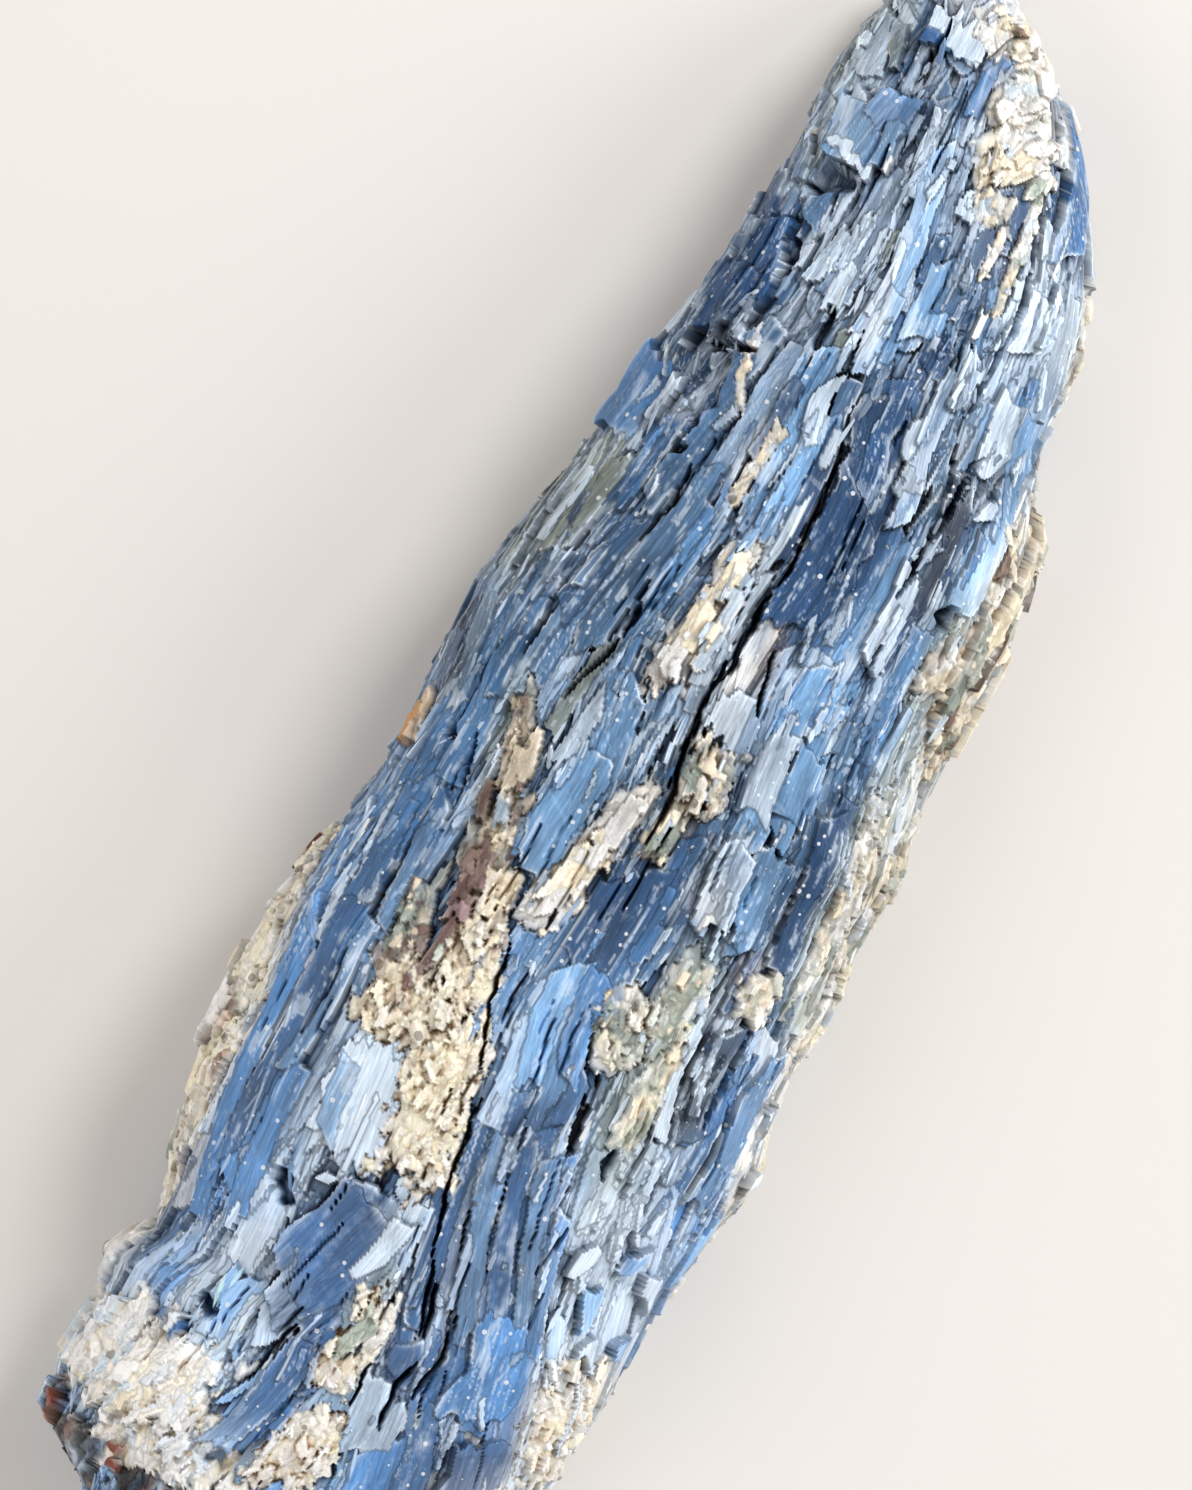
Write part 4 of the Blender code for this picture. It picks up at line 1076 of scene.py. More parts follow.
    def hairlines(self, count: int) -> None:
        """Opens thin dark lines along the blades."""
        rng, skin = self.rng, self.skin
        for row, column in zip(rng.integers(20, skin.rows - 20, count),
                               rng.integers(skin.lower, skin.lower + skin.upper, count)):
            x, y = skin.point[row, column, 0], skin.y[row]
            run = math.tan(float(skin.flow.lean(np.array([x]), np.array([y]))[0]))
            half = rng.uniform(1.5, 6.0)
            if skin.normal[row, column, 2] >= 0.5:
                skin.carve((x - run * half, y - half, x + run * half, y + half), rng.uniform(0.2, 0.36),
                           skin.height[row, column] - rng.uniform(0.35, 0.9), rng)

    def flakes(self, count: int, cluster: float, near: float) -> None:
        """Scatters small torn flakes over the blades in clusters."""
        rng, skin = self.rng, self.skin
        rows = rng.integers(0, skin.rows, count)
        columns = rng.integers(0, skin.arc.shape[1], count)
        place = skin.point[rows, columns] * np.array([1.0, 0.45, 1.0])
        kept = value_noise(place, cluster, 61) + rng.normal(0, 0.2, count) > near
        for where in zip(rows[kept], columns[kept]):
            if rng.random() < 0.85 * skin.calm[where] or (skin.label[where] and rng.random() < 0.93):
                continue
            a, y = skin.arc[where], skin.y[where[0]]
            length = 0.8 + 9.0 * rng.random() ** 2.0
            half = min(rng.uniform(0.14, 0.55), 0.13 + 0.20 * length)
            tone = 0.5 * skin.tone[where] + 0.5 * self.tone_at(a, y, 0.3)
            tone = mixed(tone, ICE.linear(), 0.8 * rng.random() ** 2.5)
            skin.press(Stroke(
                a, y, skin.slope_at(where, y) + rng.normal(0, 0.10), half, length,
                skin.height[where] + rng.uniform(0.05, 0.34), tone, tilt=rng.normal(0, 12),
                slope=rng.normal(0, 0.08), teeth=rng.uniform(0.2, 0.9), blend=0.95, milk=rng.random(),
                bevel=0.08, breaks=1), rng)


class Graph:
    """A node tree under construction."""

    def __init__(self, tree: bpy.types.NodeTree) -> None:
        """Takes the tree to build in."""
        self.tree = tree

    def add(self, kind: str, settings: dict | None = None, **links: object) -> bpy.types.Node:
        """Adds a node.

        Args:
            kind: the node's type.
            settings: its properties.
            links: values or sockets for its inputs, by name with _ for a space.

        Returns:
            The node.
        """
        node = self.tree.nodes.new(kind)
        for key, value in (settings or {}).items():
            setattr(node, key, value)
        for key, value in links.items():
            name = key.replace("_", " ")
            self.join(value, next(socket for socket in node.inputs if socket.name == name and socket.enabled))
        return node

    def join(self, value: object, socket: bpy.types.NodeSocket) -> None:
        """Links a socket to an input, or sets the input's value."""
        if isinstance(value, bpy.types.NodeSocket):
            self.tree.links.new(value, socket)
        else:
            socket.default_value = value


class GeometryTree(Graph):
    """A Geometry Nodes tree under construction, which gives its pieces their finish at the end."""

    def __init__(self, name: str) -> None:
        """Makes the tree with its geometry sockets."""
        super().__init__(bpy.data.node_groups.new(name, "GeometryNodeTree"))
        self.tree.is_modifier = True
        for way in ("INPUT", "OUTPUT"):
            self.tree.interface.new_socket("Geometry", in_out=way, socket_type="NodeSocketGeometry")
        self.start = self.tree.nodes.new("NodeGroupInput")
        self.end = self.tree.nodes.new("NodeGroupOutput")

    def input(self, name: str, kind: str, value: object = None) -> bpy.types.NodeSocket:
        """Adds a named input and gives the socket that reads it."""
        made = self.tree.interface.new_socket(name, in_out="INPUT", socket_type=kind)
        if value is not None:
            made.default_value = value
        return self.start.outputs[name]

    def named(self, name: str, kind: str) -> bpy.types.NodeSocket:
        """Gives the socket of a named attribute."""
        return self.add("GeometryNodeInputNamedAttribute", {"data_type": kind}, Name=name).outputs[0]

    def random(self, kind: str, low: object, high: object, seed: int) -> bpy.types.NodeSocket:
        """Gives the socket of a random value with a fixed seed."""
        node = self.add("FunctionNodeRandomValue", {"data_type": kind}, Min=low, Max=high, Seed=seed)
        return next(socket for socket in node.outputs if socket.enabled)

    def joined(self, *parts: bpy.types.NodeSocket) -> bpy.types.NodeSocket:
        """Joins geometries."""
        node = self.add("GeometryNodeJoinGeometry")
        for part in parts:
            self.join(part, node.inputs[0])
        return node.outputs[0]

    def placed(self, points: bpy.types.NodeSocket, kinds: list, turn: bpy.types.NodeSocket,
               scale: bpy.types.NodeSocket) -> bpy.types.NodeSocket:
        """Sets one of some kinds on every point, turned and scaled, as real faces."""
        turned = self.add("FunctionNodeEulerToRotation", {}, Euler=turn).outputs[0]
        placed = self.add("GeometryNodeInstanceOnPoints", {}, Points=points, Instance=self.joined(*kinds),
                          Pick_Instance=True, Rotation=turned, Scale=scale)
        return self.add("GeometryNodeRealizeInstances", {}, Geometry=placed.outputs[0]).outputs[0]

    def finish(self, geometry: bpy.types.NodeSocket, material: bpy.types.NodeSocket) -> None:
        """Gives the geometry its material and ends the tree."""
        dressed = self.add("GeometryNodeSetMaterial", {}, Geometry=geometry, Material=material)
        self.join(dressed.outputs[0], self.end.inputs[0])


def applied(carrier: bpy.types.Object, tree: GeometryTree, values: dict[str, object]) -> bpy.types.Object:
    """Runs a tree on an object and keeps the result as its plain mesh.

    Args:
        carrier: the object that holds the seeds or the surface.
        tree: the tree.
        values: the modifier's inputs by name.

    Returns:
        The same object with the new mesh and no modifier.
    """
    modifier = carrier.modifiers.new("growth", "NODES")
    modifier.node_group = tree.tree
    for item in tree.tree.interface.items_tree:
        if item.item_type == "SOCKET" and item.in_out == "INPUT" and item.name in values:
            modifier[item.identifier] = values[item.name]
    carrier.update_tag()
    mesh = bpy.data.meshes.new_from_object(carrier.evaluated_get(bpy.context.evaluated_depsgraph_get()))
    carrier.modifiers.clear()
    carrier.data = mesh
    return carrier


def shard_tree() -> GeometryTree:
    """Builds the tree that sets a shard on every seed point, turned and sized by the seed."""
    tree = GeometryTree("shards_on_seeds")
    stock = [tree.input(f"Shard {letter}", "NodeSocketObject") for letter in "ABC"]
    finish = tree.input("Finish", "NodeSocketMaterial")
    points = tree.add("GeometryNodeMeshToPoints", Mesh=tree.start.outputs["Geometry"]).outputs[0]
    kinds = [tree.add("GeometryNodeObjectInfo", {}, Object=socket, As_Instance=True).outputs["Geometry"]
             for socket in stock]
    tree.finish(tree.placed(points, kinds, tree.named("turn", "FLOAT_VECTOR"),
                            tree.named("size", "FLOAT_VECTOR")), finish)
    return tree


def grain_tree() -> GeometryTree:
    """Builds the tree that crusts a surface with faceted grains."""
    tree = GeometryTree("grains_on_surface")
    spacing = tree.input("Spacing", "NodeSocketFloat", 0.0013)
    small = tree.input("Smallest", "NodeSocketFloat", 0.00008)
    large = tree.input("Largest", "NodeSocketFloat", 0.00022)
    stretch = tree.input("Stretch", "NodeSocketVector", (0.9, 1.5, 0.6))
    finish = tree.input("Finish", "NodeSocketMaterial")
    surface = tree.start.outputs["Geometry"]
    points = tree.add("GeometryNodeDistributePointsOnFaces", {"distribute_method": "POISSON"},
                      Mesh=surface, Selection=tree.named("top", "FLOAT"), Distance_Min=spacing,
                      Density_Max=3.0e6, Seed=4).outputs[0]
    kinds = []
    for seed in range(4):
        ball = tree.add("GeometryNodeMeshIcoSphere", {}, Radius=1.0, Subdivisions=1).outputs[0]
        bumps = tree.random("FLOAT_VECTOR", (-0.32, -0.32, -0.32), (0.32, 0.32, 0.32), seed)
        lump = tree.add("GeometryNodeSetPosition", {}, Geometry=ball, Offset=bumps).outputs[0]
        kinds.append(tree.add("GeometryNodeGeometryToInstance", {}, Geometry=lump).outputs[0])
    scale = tree.add("ShaderNodeVectorMath", {"operation": "SCALE"}, Vector=stretch,
                     Scale=tree.random("FLOAT", small, large, 9)).outputs[0]
    turn = tree.random("FLOAT_VECTOR", (-0.7, -0.7, -0.5), (0.7, 0.7, 0.5), 12)
    tree.finish(tree.joined(surface, tree.placed(points, kinds, turn, scale)), finish)
    return tree


@dataclass
class Shards:
    """The torn slivers and flakes that stand up from the blades, laid along the flow."""

    skin: Skin
    tries: int = 11600
    cluster: float = 2.6
    half_length: tuple[float, float] = (0.35, 2.3)
    half_width: tuple[float, float] = (0.08, 0.32)
    half_thick: tuple[float, float] = (0.05, 0.13)
    unsteady: tuple[tuple[float, str], ...] = ((0.13, "Z"), (0.10, "X"), (0.26, "Y"))
    sides: tuple[tuple[str, float, float], ...] = (("left", -99, -2), ("middle", -2, 12), ("right", 12, 99))
    outlines: tuple[tuple[tuple[float, float], ...], ...] = (
        ((-0.1, -1.0), (0.75, -0.45), (1.0, 0.25), (0.35, 1.0), (-0.7, 0.55), (-1.0, -0.3)),
        ((0.3, -1.0), (0.9, -0.75), (0.85, 0.5), (0.05, 1.0), (-0.95, 0.35), (-0.8, -0.85)),
        ((-0.6, -1.0), (0.55, -0.9), (1.0, -0.1), (0.6, 0.9), (-0.25, 1.0), (-1.0, 0.1)),
    )

    def stock(self, index: int) -> bpy.types.Object:
        """Makes one kind of shard: a leaf-shaped plate two units long with a bevelled top."""
        outline = self.outlines[index]
        count = len(outline)
        bm = bmesh.new()
        low, edge, top = ([bm.verts.new((wide * x, long * y, z)) for x, y in outline]
                          for wide, long, z in ((1, 1, -1.6), (1, 1, 0.3), (0.72, 0.86, 1.0)))
        for here in range(count):
            after = (here + 1) % count
            bm.faces.new((low[here], low[after], edge[after], edge[here]))
            bm.faces.new((edge[here], edge[after], top[after], top[here]))
        bm.faces.new(top)
        bm.faces.new(low[::-1])
        mesh = bpy.data.meshes.new(f"shard_stock_{index}")
        bm.to_mesh(mesh)
        bm.free()
        place = np.array([vertex.co for vertex in mesh.vertices])
        # deep marks the shard's underside, where the shader fades pale marks as painted shade
        deep = np.array([0.7] * count + [0.0] * (2 * count))
        put(mesh, strand=place * np.array([0.4, 1.4, 0.0]) + np.array([0, 0, 500.0 + 37 * index]),
            traits=np.stack([0.35 + 0 * deep, deep, 0 * deep], -1))
        return linked(mesh.name, mesh)

    def stand(self, up: np.ndarray, lean: np.ndarray,
              rng: np.random.Generator) -> tuple[np.ndarray, np.ndarray]:
        """Turns and sizes a shard for each seat.

        Args:
            up: which way each shard's top faces.
            lean: radians that each leans towards +X.
            rng: the seeded source.

        Returns:
            Euler turns, and half width, half length and half thickness.
        """
        turns, sizes = [], []
        for facing, angle in zip(up, lean):
            top = Vector(facing)
            side = Vector((math.sin(angle), math.cos(angle), 0.0)).cross(top).normalized()
            axes = Matrix((side, top.cross(side), top)).transposed()
            for amount, axis in self.unsteady:
                axes = axes @ Matrix.Rotation(rng.normal(0, amount), 3, axis)
            low, high = self.half_length
            length = low + (high - low) * rng.random() ** 2.4
            width = min(rng.uniform(*self.half_width), 0.4 * length + 0.08)
            sizes.append((width, length, rng.uniform(*self.half_thick)))
            turns.append(tuple(axes.to_euler()))
        return np.array(turns), np.array(sizes)

    def build(self, finish: bpy.types.Material, rng: np.random.Generator) -> list:
        """Seats the shards on the skin and makes them with the tree.

        Args:
            finish: the material.
            rng: the seeded source.

        Returns:
            The pieces.
        """
        skin = self.skin
        seats = skin.places(0.0)
        rows = rng.integers(4, skin.rows - 4, self.tries)
        columns = rng.integers(skin.lower // 2, skin.arc.shape[1] - skin.lower // 2, self.tries)
        spots = seats[rows, columns]
        patches = value_noise(spots * np.array([1.0, 0.4, 1.0]), self.cluster, 11)
        kept = patches + rng.normal(0, 0.16, self.tries) > 0.16 + 0.5 * skin.calm[rows, columns]
        kept &= (skin.label[rows, columns] == 0) & (skin.normal[rows, columns, 2] > 0.35)
        rows, columns, spots = rows[kept], columns[kept], spots[kept]
        run = unit(seats[rows + 3, columns] - seats[rows - 3, columns])
        across = unit(seats[rows, columns - 2] - seats[rows, columns + 2])
        up = unit(unit(np.cross(across, run)) + 0.8 * skin.normal[rows, columns])
        lean = skin.flow.lean(spots[:, 0], spots[:, 1]) * np.clip(2 * skin.normal[rows, columns, 2], 0, 1)
        turn, size = self.stand(up, lean, rng)
        place = spots + up * (0.15 * size[:, 2:])
        # each shard takes the skin's finished colour at its seat, painted shade and highlight included, paled
        # towards ice at random
        tone = mixed(skin.finished[rows, columns], ICE.linear(), 0.75 * rng.random((len(place), 1)) ** 2.2)
        tone = np.clip(tone * np.exp(rng.normal(0.05, 0.16, len(place)))[:, None], 0, 0.92)
        stock = [self.stock(index) for index in range(len(self.outlines))]
        values = {f"Shard {letter}": kind for letter, kind in zip("ABC", stock)}
        growth = shard_tree()
        pieces = []
        for name, low, high in self.sides:
            chosen = (place[:, 0] >= low) & (place[:, 0] < high)
            mesh = bpy.data.meshes.new("shard_seeds")
            mesh.from_pydata(skin.form.world(place[chosen]).tolist(), [], [])
            put(mesh, tone=tone[chosen], turn=turn[chosen], size=size[chosen] * MM)
            seeds = linked(f"kyanite_shards_{name}", mesh)
            pieces.append(applied(seeds, growth, {**values, "Finish": finish}))
        for obj in stock:
            bpy.data.objects.remove(obj, do_unlink=True)
        return pieces


class ShaderGraph(Graph):
    """A shader node tree under construction."""

    def math(self, operation: str, *values: object, clamp: bool = False) -> bpy.types.NodeSocket:
        """Does arithmetic on values or sockets."""
        node = self.add("ShaderNodeMath", {"operation": operation, "use_clamp": clamp})
        for value, socket in zip(values, node.inputs):
            self.join(value, socket)
        return node.outputs[0]

    def vector(self, operation: str, *values: object) -> bpy.types.NodeSocket:
        """Does arithmetic on vectors."""
        node = self.add("ShaderNodeVectorMath", {"operation": operation})
        for value, socket in zip(values, node.inputs):
            self.join(value, socket)
        return node.outputs[0]

    def ramp(self, value: object, low: object, high: object, to_low: float = 0.0,
             to_high: float = 1.0) -> bpy.types.NodeSocket:
        """Maps a range smoothly onto another, clamped."""
        node = self.add("ShaderNodeMapRange", {"interpolation_type": "SMOOTHSTEP"})
        for value, socket in zip((value, low, high, to_low, to_high), node.inputs):
            self.join(value, socket)
        return node.outputs[0]

    def blend(self, factor: object, first: object, second: object, kind: str = "MIX") -> bpy.types.NodeSocket:
        """Mixes two colours."""
        node = self.add("ShaderNodeMix", {"data_type": "RGBA", "blend_type": kind, "clamp_factor": True})
        for value, index in ((factor, 0), (first, 6), (second, 7)):
            self.join(value, node.inputs[index])
        return node.outputs[2]

    def tinted(self, colour: object, light: object) -> bpy.types.NodeSocket:
        """Multiplies a colour by a lightness."""
        gain = self.add("ShaderNodeCombineColor", {}, Red=light, Green=light, Blue=light).outputs[0]
        return self.blend(1.0, colour, gain, "MULTIPLY")

    def noise(self, vector: object, scale: object, detail: float = 4.0, rough: float = 0.6,
              dimensions: str = "2D") -> bpy.types.NodeSocket:
        """Gives noise over a vector."""
        node = self.add("ShaderNodeTexNoise", {"noise_dimensions": dimensions}, Vector=vector, Scale=scale,
                        Detail=detail, Roughness=rough)
        return node.outputs[0]

    def attribute(self, name: str, output: str) -> bpy.types.NodeSocket:
        """Reads a named attribute."""
        return self.add("ShaderNodeAttribute", {"attribute_name": name}).outputs[output]

    def group(self, tree: bpy.types.NodeTree, **links: object) -> bpy.types.Node:
        """Places a node group."""
        return self.add("ShaderNodeGroup", {"node_tree": tree}, **links)

    def bump(self, shader: bpy.types.Node, strength: float, distance: float, height: object) -> None:
        """Gives a shader fine relief."""
        bump = self.add("ShaderNodeBump", {}, Strength=strength, Distance=distance, Height=height)
        self.join(bump.outputs[0], shader.inputs["Normal"])


def new_group(name: str, inputs: dict[str, tuple[str, object]], outputs: tuple[str, ...]) -> tuple:
    """Starts a shader node group.

    Args:
        name: the group's name.
        inputs: the socket's type and default by name.
        outputs: names of its float outputs.

    Returns:
        The group, its graph, its inputs and the inputs of its output node.
    """
    tree = bpy.data.node_groups.new(name, "ShaderNodeTree")
    for key, (kind, value) in inputs.items():
        socket = tree.interface.new_socket(key, in_out="INPUT", socket_type="NodeSocket" + kind)
        if value is not None:
            socket.default_value = value
    for key in outputs:
        tree.interface.new_socket(key, in_out="OUTPUT", socket_type="NodeSocketFloat")
    start, end = tree.nodes.new("NodeGroupInput"), tree.nodes.new("NodeGroupOutput")
    return tree, ShaderGraph(tree), start.outputs, end.inputs


class Effects:
    """The shader effects that several finishes share."""

    def __init__(self) -> None:
        """Builds the groups once."""
        self.streaks = self.make_streaks()
        self.flakes = self.make_flakes()
        self.specks = self.make_specks()
        self.cloud = self.make_cloud()

    @staticmethod
    def laid(graph: ShaderGraph, strand: bpy.types.NodeSocket, across: object, along: object,
             shift: float) -> bpy.types.NodeSocket:
        """Lays a blade's own pattern plane: the strand scaled, and moved by the blade's number."""
        u, v, own = graph.add("ShaderNodeSeparateXYZ", {}, Vector=strand).outputs
        u = graph.math("MULTIPLY_ADD", own, 31.7 + shift, u)
        v = graph.math("MULTIPLY_ADD", own, 17.3 + shift, v)
        return graph.add("ShaderNodeCombineXYZ", {}, X=graph.math("MULTIPLY", u, across),
                         Y=graph.math("MULTIPLY", v, along)).outputs[0]

    @staticmethod
    def make_streaks() -> bpy.types.NodeTree:
        """Fine streaks that run along a blade, and milky patches in it."""
        tree, graph, given, out = new_group("streaks_along_blade", {
            "Strand": ("Vector", None), "Fineness": ("Float", 4.0), "Length": ("Float", 0.2)},
            ("Broad", "Fine", "Milk"))
        wide = Effects.laid(graph, given["Strand"], given["Fineness"], given["Length"], 0.0)
        fine = graph.vector("MULTIPLY", wide, (3.7, 2.6, 1.0))
        milk = Effects.laid(graph, given["Strand"], 0.75, 0.28, 3.0)
        graph.join(graph.noise(wide, 1.0, 2.0), out["Broad"])
        graph.join(graph.noise(fine, 1.0, 1.0), out["Fine"])
        graph.join(graph.noise(milk, 1.0, 4.0, 0.68), out["Milk"])
        return tree

    @staticmethod
    def make_flakes() -> bpy.types.NodeTree:
        """Ragged flakes along a blade: two values for each, the way to its edge, and a tilted height."""
        tree, graph, given, out = new_group("flakes_along_blade", {
            "Strand": ("Vector", None), "Across": ("Float", 0.5), "Along": ("Float", 0.16),
            "Ragged": ("Float", 0.5)}, ("Value", "Second", "Edge", "Height"))
        place = Effects.laid(graph, given["Strand"], given["Across"], given["Along"], 7.0)
        warp = graph.noise(graph.vector("MULTIPLY", place, (2.1, 2.1, 0)), 1.0, 2.0).node
        centred = graph.vector("SUBTRACT", warp.outputs["Color"], (0.5, 0.5, 0.5))
        moved = graph.add("ShaderNodeVectorMath", {"operation": "SCALE"}, Vector=centred,
                          Scale=given["Ragged"])
        torn = graph.vector("ADD", place, moved.outputs[0])
        cells, edges = (graph.add("ShaderNodeTexVoronoi", {"voronoi_dimensions": "2D", "feature": feature},
                                  Vector=torn, Scale=1.0) for feature in ("F1", "DISTANCE_TO_EDGE"))
        first, second, third = graph.add("ShaderNodeSeparateColor", {}, Color=cells.outputs["Color"]).outputs
        away = graph.vector("SUBTRACT", torn, cells.outputs["Position"])
        x, y, _ = graph.add("ShaderNodeSeparateXYZ", {}, Vector=away).outputs
        slope = graph.math("MULTIPLY", x, graph.math("SUBTRACT", second, 0.5))
        slope = graph.math("MULTIPLY_ADD", y, graph.math("SUBTRACT", third, 0.5), slope)
        graph.join(graph.math("MULTIPLY_ADD", slope, 1.6, first), out["Height"])
        for value, name in ((first, "Value"), (second, "Second"), (edges.outputs["Distance"], "Edge")):
            graph.join(value, out[name])
        return tree

    @staticmethod
    def make_specks() -> bpy.types.NodeTree:
        """Small round specks scattered in space."""
        tree, graph, given, out = new_group("scattered_specks", {
            "Position": ("Vector", None), "Per Metre": ("Float", 900.0), "Radius": ("Float", 0.16),
            "Share": ("Float", 0.5)}, ("Mask",))
        cells = graph.add("ShaderNodeTexVoronoi", {}, Vector=given["Position"], Scale=given["Per Metre"])
        pick = graph.add("ShaderNodeSeparateColor", {}, Color=cells.outputs["Color"]).outputs
        reach = graph.math("MULTIPLY", given["Radius"], graph.math("MULTIPLY_ADD", pick[1], 0.9, 0.45))
        near = graph.math("LESS_THAN", cells.outputs["Distance"], reach)
        chosen = graph.math("LESS_THAN", pick[0], given["Share"])
        graph.join(graph.math("MULTIPLY", near, chosen), out["Mask"])
        return tree

    @staticmethod
    def make_cloud() -> bpy.types.NodeTree:
        """Soft patches in space, longer along the blades."""
        tree, graph, given, out = new_group("cloudy_patches", {
            "Position": ("Vector", None), "Per Metre": ("Float", 300.0), "Cover": ("Float", 0.5)}, ("Mask",))
        place = graph.vector("MULTIPLY", given["Position"], (1.0, 0.35, 1.0))
        value = graph.noise(place, given["Per Metre"], 4.0, 0.65, "3D")
        level = graph.math("SUBTRACT", 1.0, given["Cover"])
        low, high = graph.math("SUBTRACT", level, 0.09), graph.math("ADD", level, 0.09)
        graph.join(graph.ramp(value, low, high), out["Mask"])
        return tree


def new_material(name: str) -> tuple[bpy.types.Material, ShaderGraph, bpy.types.Node]:
    """Starts a material.

    Args:
        name: the material's name.

    Returns:
        The material, its graph and its Principled shader.
    """
    material = bpy.data.materials.new(name)
    material.use_nodes = True
    return material, ShaderGraph(material.node_tree), material.node_tree.nodes["Principled BSDF"]


@dataclass(frozen=True)
class KyaniteFinish:
    """Glassy to pearly blue: streaked along the blade, flaked, with milky torn edges."""

    name: str = "kyanite"
    rough: float = 0.34
    relief: float = 0.00008
    edge: float = 0.42
    milk_level: float = 0.68
    ice: tuple[float, float, float] = (0.80, 0.87, 0.94)
    speck: tuple[float, float, float] = (0.86, 0.89, 0.92)

    def material(self, effects: Effects) -> bpy.types.Material:
        """Builds the material."""
        material, graph, shader = new_material(self.name)
        tone, strand = graph.attribute("tone", "Color"), graph.attribute("strand", "Vector")
        place = graph.add("ShaderNodeTexCoord").outputs["Object"]
        traits = graph.attribute("traits", "Vector")
        milk, deep, rim = graph.add("ShaderNodeSeparateXYZ", {}, Vector=traits).outputs
        broad, fine, cream = graph.group(effects.streaks, Strand=strand, Fineness=3.6, Length=0.14).outputs
        small = graph.group(effects.flakes, Strand=strand, Across=1.0, Along=0.26, Ragged=0.75).outputs
        specks = graph.group(effects.specks, Position=place, Per_Metre=780.0, Radius=0.16,
                             Share=0.5).outputs[0]
        light = graph.ramp(broad, 0.30, 0.70, 0.88, 1.14)
        light = graph.math("MULTIPLY", light, graph.ramp(fine, 0.3, 0.7, 0.88, 1.12))
        light = graph.math("MULTIPLY", light, graph.math("MULTIPLY_ADD", small["Value"], 0.24, 0.88))
        colour = graph.tinted(tone, light)
        level = graph.math("MULTIPLY_ADD", milk, -0.12, self.milk_level)
        over = graph.math("SUBTRACT", cream, level)
        patch = graph.math("MULTIPLY", graph.ramp(over, 0.0, 0.04), graph.ramp(fine, 0.25, 0.75, 0.2, 0.6))
        outline = graph.ramp(graph.math("ABSOLUTE", over), 0.0, 0.012, 0.7, 0.0)
        chip = graph.math("MULTIPLY", graph.ramp(small["Edge"], 0.0, 0.07, self.edge, 0.0),
                          graph.ramp(small["Second"], 0.60, 0.80))
        pale = graph.math("MAXIMUM", graph.math("MAXIMUM", patch, outline), chip)
        # pale marks fade where the deep trait holds painted shade
        pale = graph.math("MULTIPLY", pale, graph.ramp(deep, 0.05, 0.5, 1.0, 0.0), clamp=True)
        colour = graph.blend(pale, colour, (*to_linear(self.ice), 1.0))
        colour = graph.blend(graph.math("MULTIPLY", specks, 0.7), colour, (*self.speck, 1.0))
        graph.join(colour, shader.inputs["Base Color"])
        rough = graph.ramp(fine, 0.3, 0.7, self.rough - 0.08, self.rough + 0.12)
        rough = graph.math("MULTIPLY_ADD", graph.math("MAXIMUM", pale, rim), 0.22, rough)
        graph.join(rough, shader.inputs["Roughness"])
        height = graph.math("MULTIPLY_ADD", small["Height"], 0.7, graph.math("MULTIPLY", broad, 0.8))
        graph.bump(shader, 0.8, self.relief, graph.math("MULTIPLY_ADD", fine, 0.35, height))
        graph.join(1.5, shader.inputs["IOR"])
        graph.join(0.36, shader.inputs["Specular IOR Level"])
        return material


@dataclass(frozen=True)
class GranularFinish:
    """Granular quartz, feldspar or crust: flaky, mottled and stained in cloudy patches; its hollows carry
    painted shade in the tone.
    """

    name: str
    rough: float = 0.55
    relief: float = 0.00007
    stain: tuple[float, float, float] = (0.55, 0.42, 0.26)
    stain_share: float = 0.35
    spot: tuple[float, float, float] = (0.10, 0.075, 0.05)
    spot_share: float = 0.10

    def material(self, effects: Effects) -> bpy.types.Material:
        """Builds the material."""
        material, graph, shader = new_material(self.name)
        tone, strand = graph.attribute("tone", "Color"), graph.attribute("strand", "Vector")
        place = graph.add("ShaderNodeTexCoord").outputs["Object"]
        cloud = graph.group(effects.cloud, Position=place, Per_Metre=420.0, Cover=self.stain_share).outputs[0]
        spots = graph.group(effects.specks, Position=place, Per_Metre=620.0, Radius=0.33,
                            Share=self.spot_share).outputs[0]
        flakes = graph.group(effects.flakes, Strand=strand, Across=1.6, Along=0.9, Ragged=0.9).outputs
        fine = graph.noise(place, 5200.0, 2.0, 0.6, "3D")
        light = graph.math("MULTIPLY_ADD", flakes["Value"], 0.20, 0.92)
        light = graph.math("MULTIPLY", light, graph.ramp(flakes["Edge"], 0.0, 0.10, 0.92, 1.02))
        light = graph.math("MULTIPLY", light, graph.ramp(fine, 0.3, 0.7, 0.93, 1.09))
        colour = graph.tinted(tone, light)
        stained = graph.blend(1.0, colour, (*self.stain, 1.0), "MULTIPLY")
        colour = graph.blend(graph.math("MULTIPLY", cloud, 0.32), colour, stained)
        colour = graph.blend(graph.math("MULTIPLY", spots, 0.6), colour, (*self.spot, 1.0))
        graph.join(colour, shader.inputs["Base Color"])
        rough = graph.ramp(fine, 0.3, 0.7, self.rough - 0.12, self.rough + 0.15)
        graph.join(rough, shader.inputs["Roughness"])
        graph.bump(shader, 0.6, self.relief, graph.math("MULTIPLY_ADD", flakes["Height"], 0.6, fine))
        graph.join(0.4, shader.inputs["Specular IOR Level"])
        return material


@dataclass(frozen=True)
class Lamp:
    """A round area light; place is right, up and height in the camera's view, in metres."""

    name: str
    place: tuple[float, float, float]
    size: float
    power: float
    colour: tuple[float, float, float]


